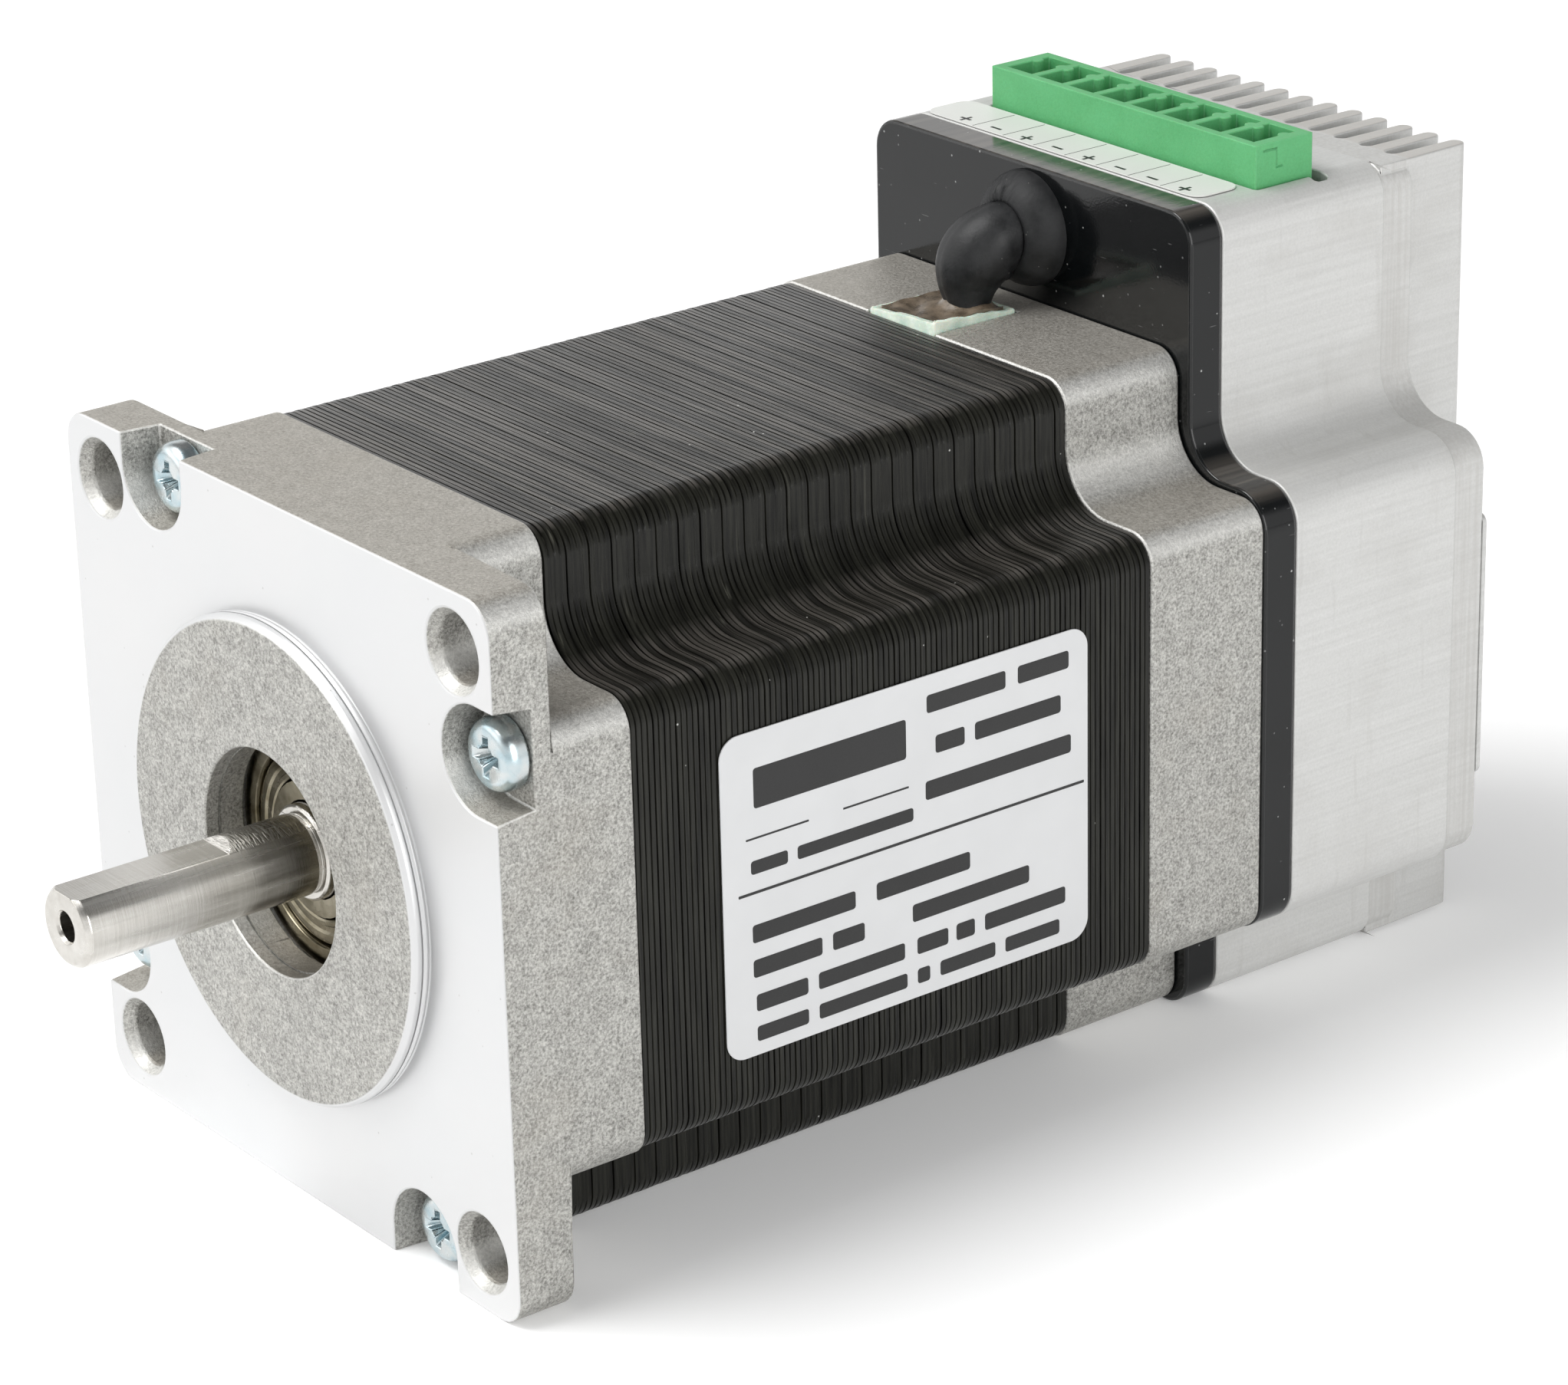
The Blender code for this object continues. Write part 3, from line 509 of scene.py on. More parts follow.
def plate_surface():
    s = Surface("anodised", Specular_IOR_Level=0.36)
    sparse = s.between(s.noise(0.35, 2.0), 0.42, 0.62)
    dust = s.times(s.dots(0.9, 0.06, 0.1), sparse)
    hairs = s.between(s.noise(1.0, 1.0, 0.5, (0.5, 0.5, 7.0)), 0.77, 0.80)
    cloud = s.noise(0.15, 3.0, 0.6)
    fine = s.noise(5.0, 2.0)
    tops = s.between(s.facing_up(), 0.7, 0.95)
    colour = s.mix(s.spread(cloud), (0.0012, 0.0018, 0.002), (0.003, 0.0036, 0.004))
    # Painted sheen: the plate's upward face gets a paler brown tint, varied by milling lines, for
    # light reflected in it.
    milled = s.between(s.noise(1.0, 2.0, 0.6, (1.1, 0.05, 1.1)), 0.35, 0.65)
    painted_upper_sheen = s.mix(milled, (0.024, 0.022, 0.020), (0.085, 0.076, 0.066))
    colour = s.tint(colour, painted_upper_sheen, tops, 0.8)
    # Paler sharp edges: wear through the anodising, and a painted highlight along the rounded rim.
    colour = s.tint(colour, (0.42, 0.42, 0.41), s.sharp_edge_mask(0.2), 0.85)
    colour = s.tint(colour, (0.45, 0.46, 0.45), dust, 0.7)
    colour = s.tint(colour, (0.3, 0.3, 0.3), hairs, 0.25)
    s.bump((fine, 0.004))
    return s.paint(colour, s.spread(cloud, 0.07, 0.12))


def housing_surface():
    s = Surface("pale_aluminium")
    drawn = s.noise(1.0, 3.0, 0.6, (2.2, 0.05, 2.2))
    grain = s.noise(5.0, 3.0, 0.6)
    stains = s.noise(0.11, 4.0, 0.6)
    marks = s.between(s.noise(1.0, 2.0, 0.6, (0.5, 0.9, 0.07)), 0.62, 0.72)
    milled = s.noise(1.0, 2.0, 0.6, (3.0, 3.0, 0.05))
    strip = s.times(s.between(s.y, Y_STEP + 0.1, Y_STEP + 0.2),
                    s.between(s.y, Y_BACK - 0.1, Y_BACK - 0.2))
    fins = s.between(s.y, Y_BACK - 0.1, Y_BACK + 0.3)
    tops = s.times(s.between(s.facing_up(), 0.6, 0.9), fins)
    colour = s.mix(s.spread(s.blend(0.5, drawn, grain)), (0.49, 0.49, 0.478), (0.60, 0.60, 0.588))
    colour = s.mix(s.between(stains, 0.5, 0.72, 0.0, 0.3), colour, (0.42, 0.41, 0.39))
    colour = s.tint(colour, (0.38, 0.37, 0.35), marks, 0.2)
    colour = s.mix(s.times(strip, s.between(milled, 0.35, 0.65, 0.1, 0.5)), colour,
                   (0.42, 0.41, 0.39))
    # Painted shade: the fins' upward faces get a darker, warmer tint for the grazing light on them.
    colour = s.tint(colour, (0.50, 0.47, 0.43), tops, 0.5)
    s.bump((drawn, 0.012), (grain, 0.012))
    return s.paint(colour, s.spread(stains, 0.40, 0.54), s.blend(fins, 0.35, 0.5))


def header_surface():
    s = Surface("green_plastic", Specular_IOR_Level=0.4, Subsurface_Weight=0.08,
                Subsurface_Scale=0.0015)
    grain = s.noise(5.5, 3.0, 0.7)
    flow = s.noise(0.25, 2.0)
    colour = s.mix(s.spread(s.blend(0.6, flow, grain)), (0.065, 0.30, 0.105), (0.105, 0.40, 0.165))
    # Paler green on the sharp edges.
    colour = s.tint(colour, (0.20, 0.50, 0.27), s.sharp_edge_mask(0.15), 0.35)
    s.bump((flow, 0.05), (grain, 0.018))
    return s.paint(colour, s.spread(grain, 0.45, 0.6))


def rubber_surface(name, sheen):
    s = Surface(name, Specular_IOR_Level=0.32)
    grain = s.noise(4.5, 3.0, 0.6)
    dust = s.dots(1.3, 0.03, 0.06)
    bloom = s.noise(0.6, 3.0, 0.6)
    colour = s.mix(s.between(bloom, 0.35, 0.7), (0.004, 0.0045, 0.005), (0.018, 0.0185, 0.0195))
    colour = s.tint(colour, (0.35, 0.34, 0.31), dust, 0.5)
    s.bump((bloom, 0.04), (grain, 0.012))
    return s.paint(colour, s.spread(bloom, sheen - 0.08, sheen + 0.08))


def liner_surface():
    s = Surface("liner", Subsurface_Weight=0.25, Subsurface_Scale=0.0008)
    fibres = s.noise(3.0, 4.0, 0.7)
    tint = s.noise(0.5, 2.0)
    colour = s.mix(s.between(tint, 0.35, 0.65), (0.40, 0.52, 0.44), (0.62, 0.70, 0.60))
    colour = s.mix(s.between(fibres, 0.5, 0.8, 0.0, 0.5), colour, (0.80, 0.83, 0.76))
    s.bump((fibres, 0.05))
    return s.paint(colour, s.spread(fibres, 0.5, 0.7))


def glue_surface():
    s = Surface("potting_glue", Coat_Weight=0.4, Coat_Roughness=0.12)
    flow = s.noise(0.8, 3.0, 0.6)
    colour = s.mix(s.spread(flow), (0.06, 0.045, 0.03), (0.20, 0.155, 0.11))
    s.bump((flow, 0.08))
    return s.paint(colour, s.spread(flow, 0.2, 0.4))


def shaft_surface():
    s = Surface("ground_steel", Anisotropic=0.35)
    ground = s.noise(1.0, 3.0, 0.7, (0.2, 7.0, 0.2))
    drawn = s.noise(1.0, 3.0, 0.6, (1.6, 0.08, 1.6))
    cut = s.noise(1.0, 2.0, 0.6, (1.4, 4.5, 0.6))
    run_out = s.times(s.between(s.z, SHAFT_FLAT - 0.05, SHAFT_FLAT),
                      s.between(s.y, FLAT_END - 0.02, FLAT_END + 0.02))
    colour = s.mix(s.spread(s.blend(0.5, ground, drawn)), (0.46, 0.44, 0.405), (0.66, 0.645, 0.61))
    s.bump((ground, 0.006), (s.times(cut, run_out), 0.06))
    return s.paint(colour, s.spread(drawn, 0.17, 0.30), 1.0)


def screw_surface():
    s = Surface("zinc", Metallic=1.0)
    plate = s.noise(2.0, 3.0, 0.6)
    blue = s.noise(0.7, 2.0)
    colour = s.mix(s.between(blue, 0.35, 0.65), (0.58, 0.61, 0.61), (0.42, 0.53, 0.57))
    s.bump((plate, 0.004))
    return s.paint(colour, s.spread(plate, 0.20, 0.30))


def shield_surface():
    s = Surface("bearing_steel", Metallic=1.0)
    ring = s.noise(1.0, 2.0, 0.6, (0.1, 3.0, 0.1))
    oil = s.noise(0.35, 3.0, 0.6)
    colour = s.mix(s.between(oil, 0.35, 0.65), (0.10, 0.085, 0.05), (0.27, 0.245, 0.185))
    s.bump((ring, 0.01))
    return s.paint(colour, s.spread(oil, 0.16, 0.32))


def label_surface(name, tint):
    s = Surface(name, Specular_IOR_Level=0.4)
    film = s.noise(0.2, 2.0)
    grain = s.noise(6.0, 2.0)
    colour = s.mix(s.spread(film), tint, tuple(c * 0.96 for c in tint))
    s.bump((film, 0.01), (grain, 0.002))
    return s.paint(colour, s.spread(grain, 0.42, 0.5))


def winding_surface():
    s = Surface("copper_wire", Metallic=0.9)
    turns = s.noise(1.0, 1.0, 0.4, (2.6, 0.06, 2.6))
    tone = s.noise(0.6, 2.0)
    colour = s.mix(s.between(turns, 0.35, 0.65), (0.38, 0.13, 0.05), (0.78, 0.36, 0.18))
    s.bump((turns, 0.15))
    return s.paint(colour, s.spread(tone, 0.25, 0.4))


def board_surface():
    s = Surface("circuit_board", Specular_IOR_Level=0.5)
    weave = s.noise(2.5, 2.0)
    tracks = s.between(s.noise(1.0, 0.0, 0.5, (0.5, 1.0, 2.2)), 0.56, 0.6)
    colour = s.mix(s.spread(weave), (0.012, 0.13, 0.05), (0.025, 0.20, 0.08))
    colour = s.tint(colour, (0.05, 0.30, 0.13), tracks, 0.6)
    s.bump((tracks, 0.03))
    return s.paint(colour, s.spread(weave, 0.35, 0.5))


CAST_FRONT = cast_surface("cast_with_machined_face", True)
CAST = cast_surface("cast", False)
LAMINATIONS = lamination_surface()
ANODISED = plate_surface()
ALUMINIUM = housing_surface()
GREEN = header_surface()
SLEEVE_RUBBER = rubber_surface("sleeve_rubber", 0.46)
GROMMET_RUBBER = rubber_surface("grommet_rubber", 0.58)
LINER_SURFACE = liner_surface()
GLUE = glue_surface()
STEEL = shaft_surface()
ZINC = screw_surface()
BEARING = shield_surface()
SIDE_FILM = label_surface("side_label_film", (0.575, 0.58, 0.585))
TERMINAL_FILM = label_surface("terminal_label_film", (0.62, 0.625, 0.60))
INK = grained("ink", (0.006, 0.006, 0.006), (0.012, 0.012, 0.012), 6.0, 0.5, 0.002)
COPPER = winding_surface()
BOARD = board_surface()
NYLON = grained("nylon", (0.62, 0.60, 0.50), (0.74, 0.72, 0.62), 3.0, 0.5, 0.01)
MAGNET = grained("magnet", (0.10, 0.10, 0.105), (0.18, 0.18, 0.185), 4.0, 0.4, 0.01, 0.8)
BLACK_PLASTIC = grained("black_plastic", (0.010, 0.010, 0.011), (0.024, 0.024, 0.025), 5.0, 0.5,
                        0.015)
CAN = grained("capacitor_sleeve", (0.03, 0.035, 0.05), (0.06, 0.065, 0.085), 1.5, 0.32, 0.01)
PAD = grained("silicone_pad", (0.42, 0.50, 0.60), (0.55, 0.62, 0.72), 4.0, 0.7, 0.03)
TIN = grained("tin_plate", (0.60, 0.58, 0.54), (0.76, 0.74, 0.69), 4.0, 0.28, 0.005, 1.0)


# ---- castings

def pocket_outline(r, turns):
    """A screw pocket of the flange, open to the side."""
    cx, cz = POCKET_AT
    edge = HALF_FLANGE + 3
    shape = [(edge, cz + r)] + arc(cx, cz, r, 90, 270, 24) + [(edge, cz - r)]
    return [quarter_turned(p, turns) for p in shape]


def hub_space(mouth, floor, hub_end, pocket_floor):
    """The hollow of an end bell: a ring round the hub, and the bearing's pocket inside it."""
    beyond = mouth + (1 if mouth > floor else -1)
    seat_r = BEARING_R + FIT
    return turned(new(), [(0, beyond), (CAVITY_R, beyond), (CAVITY_R, floor), (HUB_R, floor),
                          (HUB_R, hub_end), (seat_r, hub_end), (seat_r, pocket_floor),
                          (0, pocket_floor)], 64)


def make_front_bell():
    flange = prism(new(), rounded_box(-HALF_FLANGE, HALF_FLANGE, -HALF_FLANGE, HALF_FLANGE,
                                      FLANGE_CORNER), 0, FLANGE_T)
    flush = dict(BODY, half=HALF_FLANGE, top=HALF_FLANGE, bottom=HALF_FLANGE)
    body = prism(new(), stepped_outline(**flush), FLANGE_T - 1, Y_STACK)
    edge = PILOT_CHAMFER - PILOT_H
    pilot = turned(new(), [
        (BORE_R, -PILOT_H), (PILOT_R - PILOT_CHAMFER, -PILOT_H), (PILOT_R - 0.05, edge),
        (PILOT_R, edge + 0.1), (PILOT_R, -0.75), (PILOT_R - 0.12, -0.7), (PILOT_R - 0.12, -0.55),
        (PILOT_R, -0.5), (PILOT_R, -0.25), (PILOT_R - 0.2, -0.1), (PILOT_R - 0.2, 1),
        (BORE_R, 1)], 160)
    pockets, holes = new(), new()
    flare = BOLT_MOUTH_R + (BOLT_MOUTH_R - BOLT_R) * OVERLAP / BOLT_MOUTH_DEPTH
    for turns in range(4):
        bolt = quarter_turned((BOLT_HALF, BOLT_HALF), turns)
        turned(holes, [(0, -OVERLAP), (flare, -OVERLAP), (BOLT_R, BOLT_MOUTH_DEPTH),
                       (BOLT_R, FLANGE_T + OVERLAP), (0, FLANGE_T + OVERLAP)], 48, bolt)
        rod(holes, SCREW_R + 0.2, 2, Y_STACK + 1, quarter_turned(SCREW_AT, turns), 24)
        prism(pockets, pocket_outline(POCKET_R + 0.1, turns), -1, POCKET_DEPTH,
              pocket_outline(POCKET_R - POCKET_DRAFT, turns))
    mesh = carved("front_bell", flange, [
        ("+", body), ("+", pilot), ("-", hub_space(**FRONT_HUB)),
        ("-", rod(new(), BORE_R + 0.06, -0.3, 3, count=112)), ("-", pockets), ("-", holes)])
    soften(piece("front_bell_casting", mesh, CAST_FRONT, "cast_aluminium", "front_end_bell"), 0.14)


def make_rear_bell():
    y0, y1 = Y_REAR + GAP, Y_PLATE - GAP
    holes = rod(new(), 5.5, 69, y1 + 1)
    for turns in range(4):
        rod(holes, SCREW_R + 0.15, y0 - 1, 67.6, quarter_turned(SCREW_AT, turns), 16)
    for spot in PLATE_SCREWS:
        rod(holes, 1.35, 68.2, y1 + 1, spot, 16)
    exit_hole = box(new(), LINER["x0"] - GAP, LINER["x1"] + GAP, y0 - 1, LINER["y1"] + GAP, 22, 30)
    mesh = carved("rear_bell", prism(new(), stepped_outline(**BODY), y0, y1), [
        ("-", hub_space(**REAR_HUB)), ("-", holes), ("-", exit_hole)])
    soften(piece("rear_bell_casting", mesh, CAST, "cast_aluminium", "rear_end_bell"), 0.16)


def cross_outline(wide, slim, centre):
    points = []
    for turns in range(4):
        points += [quarter_turned(p, turns) for p in ((wide, -slim), (wide, slim), (slim, slim))]
    return [(x + centre[0], z + centre[1]) for x, z in points]


def make_motor_screws():
    seat = POCKET_DEPTH - 0.05
    head = seat - SCREW_HEAD_H
    crown = [(0, head), (1.9, head + 0.03)]
    crown += [(1.9 + 0.9 * sin(a), head + 0.03 + 1.1 * (1 - cos(a)))
              for a in (radians(d) for d in (18, 36, 54, 72, 90))]
    for turns in range(4):
        spot = quarter_turned(SCREW_AT, turns)
        body = turned(new(), crown + [(SCREW_HEAD_R, seat - 0.15), (SCREW_HEAD_R - 0.15, seat),
                                      (SCREW_R, seat), (SCREW_R, SCREW_END - 0.6),
                                      (1.0, SCREW_END), (0, SCREW_END)], 40, spot)
        recess = prism(new(), cross_outline(1.75, 0.42, spot), head - 0.3, head + 1.3,
                       cross_outline(0.75, 0.2, spot))
        web = turned(new(), [(0, head - 0.3), (1.05, head - 0.3), (0.5, head + 1.15),
                             (0, head + 1.25)], 24, spot)
        mesh = carved("screw", body, [("-", recess), ("-", web)])
        item = piece(f"pan_head_screw_{turns + 1}", mesh, ZINC, "zinc_plate",
                     f"motor_screw_{turns + 1}")
        soften(item, 0.07)


# ---- stack

def pole_points():
    """One toothed pole pointing inwards, from its clockwise side to the other."""
    root_u = sqrt(YOKE_R ** 2 - POLE_HALF ** 2)
    slot_r, under_r, neck_u = POLE_TIP_R + 0.7, 18.7, 19.4
    points = [(root_u, -POLE_HALF), (neck_u, -POLE_HALF), polar(under_r, -SHOE_DEG),
              polar(slot_r, -SHOE_DEG)]
    for tooth in range(-2, 3):
        mid = tooth * TOOTH_DEG
        points += [polar(slot_r, mid - 1.8), polar(POLE_TIP_R, mid - 1.7),
                   polar(POLE_TIP_R, mid + 1.7), polar(slot_r, mid + 1.8)]
    return points + [polar(slot_r, SHOE_DEG), polar(under_r, SHOE_DEG), (neck_u, POLE_HALF),
                     (root_u, POLE_HALF)]


def stator_bore():
    step = 360 / POLES
    half = degrees(asin(POLE_HALF / YOKE_R))
    outline = []
    for pole in range(POLES):
        c, s = polar(1, pole * step)
        outline += [(x * c - z * s, x * s + z * c) for x, z in pole_points()]
        outline += arc(0, 0, YOKE_R, pole * step + half, (pole + 1) * step - half, 8)[1:-1]
    return outline


def notch_fade():
    """For each point of the stepped outline, how much of a fine gap's depth it keeps."""
    quadrant = [1.0] * 21 + [0.6, 0.3, 0.1, 0.1, 0.3, 0.6] + [1.0] * 8
    return quadrant + quadrant[::-1] + quadrant + quadrant[::-1]


def sheet_edge(y, edge, inset, fades):
    """The outline at one station, set in from the sheet's edge where the gap isn't faded."""
    near = stepped_outline(**BODY, inset=edge)
    deep = stepped_outline(**BODY, inset=inset)
    weights = fades or [1.0] * len(near)
    return [(a + (c - a) * w, y, b + (d - b) * w) for (a, b), (c, d), w in zip(near, deep, weights)]


def make_stack():
    """Every sheet of the stack: its edge stands out, and a shallow gap parts it from the next.

    On the flat walls of the notches only every fourth gap shows, where the sheets are packed."""
    y0, y1 = Y_STACK + GAP, Y_REAR
    sheets, every = 98, 4
    pitch = (y1 - y0) / sheets
    draw = random.Random(7)
    faded = notch_fade()
    rings = []
    for sheet in range(sheets):
        start = y0 + sheet * pitch
        seam = sheet % every == 0
        groove = 0.055 if seam else 0.03
        depth = 0.30 if seam else 0.13
        edge = STACK_INSET + draw.uniform(0.0, 0.035)
        bottom = STACK_INSET + depth
        for y, inset in ((start + 0.001, bottom), (start + groove, bottom),
                         (start + groove + 0.05, edge), (start + pitch - 0.05, edge)):
            rings.append(sheet_edge(y, edge, inset, None if seam else faded))
    rings.append([(x, y1, z) for x, z in stepped_outline(**BODY, inset=STACK_INSET + 0.1)])
    bm = new()
    outer = loops_of(bm, rings)
    for near, far in zip(outer, outer[1:]):
        band(bm, near, far)
    inner = loops_of(bm, [[(x, y, z) for x, z in stator_bore()] for y in (rings[0][0][1], y1)])
    band(bm, *inner)
    for outside, inside in ((outer[0], inner[0]), (outer[-1], inner[1])):
        edges = [bm.edges.get((a, b)) for loop in (outside, inside)
                 for a, b in zip(loop, loop[1:] + loop[:1])]
        bmesh.ops.triangle_fill(bm, use_beauty=True, edges=edges)
    piece("lamination_stack", mesh_of("stack", bm, 24), LAMINATIONS, "laminations", "stator_stack")


# ---- shaft and bearing front

def make_shaft():
    hole_r, hole_depth, chamfer = 1.15, 5.0, 0.35
    profile = [(0, Y_TIP + hole_depth + 0.6), (hole_r, Y_TIP + hole_depth),
               (hole_r, Y_TIP + 0.25), (hole_r + 0.2, Y_TIP), (SHAFT_R - chamfer, Y_TIP),
               (SHAFT_R - 0.05, Y_TIP + chamfer), (SHAFT_R, Y_TIP + chamfer + 0.1),
               (SHAFT_R, SHOULDER_Y - 0.35), (SHAFT_R - 0.12, SHOULDER_Y - 0.25),
               (SHAFT_R - 0.12, SHOULDER_Y), (SEAT_R - 0.2, SHOULDER_Y),
               (SEAT_R, SHOULDER_Y + 0.2), (SEAT_R, SHOULDER_Y + 0.65),
               (SEAT_R - 0.1, SHOULDER_Y + 0.7), (SEAT_R - 0.1, SHOULDER_Y + 0.8),
               (SEAT_R, SHOULDER_Y + 0.85), (SEAT_R, 8.6), (CORE_SEAT_R, 8.6),
               (CORE_SEAT_R, REAR_BEARING_Y - 0.3), (SEAT_R, REAR_BEARING_Y - 0.3),
               (SEAT_R, 70.1), (SEAT_R - 0.3, 70.4), (0, 70.4)]
    over = SHAFT_R + 1
    flat = [(Y_TIP - 1, SHAFT_FLAT), (FLAT_END, SHAFT_FLAT), (FLAT_END + RUNOUT, SHAFT_R + 0.05),
            (FLAT_END + RUNOUT, over), (Y_TIP - 1, over)]
    cutter = upright_slab(new(), flat, -over, over)
    mesh = carved("shaft", turned(new(), profile, 128), [("-", cutter)], 25)
    soften(piece("steel_shaft", mesh, STEEL, "shaft_steel", "shaft", body="rotor"), 0.05, 2, 24)


def make_shield():
    """The pressed ring that closes the front bearing, with a stepped and rolled section."""
    profile = [(RACE_IN_R + out, FRONT_BEARING_Y + along) for out, along in (
        (0.2, 0.5), (0.2, 0.22), (0.35, 0.12), (0.65, 0.15), (0.8, 0.32), (1.2, 0.34), (1.4, 0.18),
        (1.8, 0.15), (2.15, 0.3), (2.2, 0.5), (1.65, 0.45), (1.25, 0.6), (0.75, 0.6))]
    piece("bearing_shield", turned(new(), profile, 112), BEARING, "bearing_steel",
          "front_bearing_shield")


def make_race():
    """The front bearing's outer race, with rounded and grooved edges."""
    profile = [(BEARING_R - inwards, FRONT_BEARING_Y + along) for inwards, along in (
        (1.75, 6.0), (1.75, 0.25), (1.63, 0.05), (1.5, 0), (0.35, 0), (0.1, 0.1), (0, 0.35),
        (0, 5.65), (0.35, 6.0))]
    piece("bearing_outer_race", turned(new(), profile, 112), BEARING, "bearing_steel",
          "front_bearing_outer_race")


# ---- lead exit

SLEEVE_POINTS = ((-0.9, 66.9, 26.5, 1.60), (-0.9, 66.9, 28.2, 1.75), (-1.25, 67.2, 29.9, 2.50),
                 (-1.3, 67.7, 31.4, 3.00), (-1.0, 68.6, 32.7, 3.10), (-0.5, 69.6, 33.5, 2.95),
                 (-0.1, 70.8, 33.9, 2.65), (0, 72.2, 33.9, 2.50), (0, 75.9, 33.9, 2.50))


def make_sleeve():
    """The soft sleeve over the leads: rings across a smooth path, a seam and shallow folds."""
    path = curve_through(SLEEVE_POINTS, 9)
    count = 56
    rings = []
    for i, (*centre, r) in enumerate(path):
        before, after = path[max(i - 1, 0)], path[min(i + 1, len(path) - 1)]
        ahead = (Vector(after[:3]) - Vector(before[:3])).normalized()
        side = Vector((1, 0, 0))
        across = (side - ahead * side.dot(ahead)).normalized()
        up = ahead.cross(across)
        ring = []
        for k in range(count):
            a = 2 * pi * k / count
            fold = 0.05 * sin(2 * a + 0.2 * i) * sin(pi * i / len(path))
            crease = -0.10 * exp(-((a - 4.4) / 0.16) ** 2)
            outwards = across * cos(a) + up * sin(a)
            ring.append(Vector(centre) + outwards * (r + fold + crease))
        rings.append(ring)
    piece("lead_sleeve_skin", loft(new(), rings), SLEEVE_RUBBER, "rubber", "lead_sleeve")


def make_grommet():
    """A soft ring with a domed front, wrinkled above the sleeve where it is squeezed."""
    front = [(2.42, 70.35), (2.46, 70.0), (2.62, 69.82), (2.9, 69.8), (3.3, 69.98), (3.7, 70.28),
             (4.1, 70.72), (4.45, 71.25), (4.68, 71.85), (GROMMET_R, 72.38)]
    back = [(3.95, 72.38), (3.95, 75.75), (4.1, 75.9), (3.9, 76.3), (2.42, 76.3)]
    bm = turned(new(), front + back, 192, (0, GROMMET_Z))
    inner, outer = 2.6, 4.6
    for vertex in bm.verts:
        x, y, z = vertex.co
        z -= GROMMET_Z
        r = hypot(x, z)
        angle = atan2(z, x)
        if y < 72.2 and inner < r < outer:
            near_top = exp(-((degrees(angle) - 105) / 24) ** 2)
            pleats = sin(angle * 40) + 0.6 * sin(angle * 61 + r)
            fade = sin(pi * (r - inner) / (outer - inner))
            vertex.co.y += 0.13 * near_top * pleats * fade
    piece("grommet", mesh_of("grommet", bm, 60), GROMMET_RUBBER, "rubber", "cable_grommet")


def make_liner():
    """A rectangular insulating sleeve with soft corners and an uneven upper edge."""
    x0, x1, y0, y1 = (LINER[k] for k in ("x0", "x1", "y0", "y1"))
    z0, z1 = LINER["z0"], LINER["z1"]
    draw = random.Random(11)
    outer = rounded_box(x0, x1, y0, y1, 0.35, 4)
    inner = rounded_box(x0 + LINER_T, x1 - LINER_T, y0 + LINER_T, y1 - LINER_T, 0.25, 4)

    def dense(outline):
        out = []
        for (xa, ya), (xb, yb) in zip(outline, outline[1:] + outline[:1]):
            parts = 10 if hypot(xb - xa, yb - ya) > 2 else 1
            out += [(xa + (xb - xa) * k / parts, ya + (yb - ya) * k / parts) for k in range(parts)]
        return out

    outer, inner = dense(outer), dense(inner)
    tops = [z1 - 0.1 - 0.075 * hypot(x - x1, y - y0) + draw.uniform(-0.07, 0.07) for x, y in outer]
    edge = [[(x + (u - x) * inwards, y + (v - y) * inwards, top - drop)
             for (x, y), (u, v), top in zip(outer, inner, tops)]
            for inwards, drop in ((0, 0.15), (0.15, 0), (0.8, 0.02), (1, 0.2))]
    bm = new()
    loops = loops_of(bm, [[(x, y, z0) for x, y in outer], *edge, [(x, y, z0) for x, y in inner]])
    for near, far in zip(loops, loops[1:] + loops[:1]):
        band(bm, near, far)
    piece("liner", mesh_of("liner", bm, 50), LINER_SURFACE, "liner", "lead_exit_liner")


def make_potting():
    """Glue in the exit, crept up the sleeve's foot: a grid draped to a height rule."""
    margin = LINER_T + GAP
    x0, x1 = LINER["x0"] + margin, LINER["x1"] - margin
    y0, y1 = LINER["y0"] + margin, LINER["y1"] - margin
    floor, columns, rows = 26.4, 34, 34
    draw = random.Random(5)
    waves = [(draw.uniform(0.8, 2.4), draw.uniform(0.8, 2.4), draw.uniform(0, 6)) for _ in range(5)]
    foot_x, foot_y, foot_r = SLEEVE_POINTS[1][0], SLEEVE_POINTS[1][1], SLEEVE_POINTS[1][3]

    def height(u, v):
        x, y = x0 + (x1 - x0) * u, y0 + (y1 - y0) * v
        ripple = sum(sin(x * a + y * b + c) for a, b, c in waves) * 0.03
        away = max(0.0, hypot(x - foot_x, y - foot_y) - foot_r)
        side = max(0.0, (foot_x - x - 0.4 * (y - foot_y)) / 3)
        climb = (0.45 + 1.1 * min(1.0, side)) * exp(-away / 0.55)
        return x, y, 28.2 + climb + 0.25 * exp(-8 * min(u, 1 - u, v)) + ripple

    bm = new()
    grid = [[bm.verts.new(height(i / columns, j / rows)) for i in range(columns + 1)]
            for j in range(rows + 1)]
    for j in range(rows):
        for i in range(columns):
            bm.faces.new((grid[j][i], grid[j][i + 1], grid[j + 1][i + 1], grid[j + 1][i]))
    rim = (grid[0] + [row[-1] for row in grid[1:-1]] + grid[-1][::-1]
           + [row[0] for row in grid[-2:0:-1]])
    below = [bm.verts.new((v.co.x, v.co.y, floor)) for v in rim]
    band(bm, rim, below)
    bm.faces.new(below)
    piece("potting_glue_fill", mesh_of("glue", bm, 70), GLUE, "potting_glue", "potting")


# ---- plate and housing

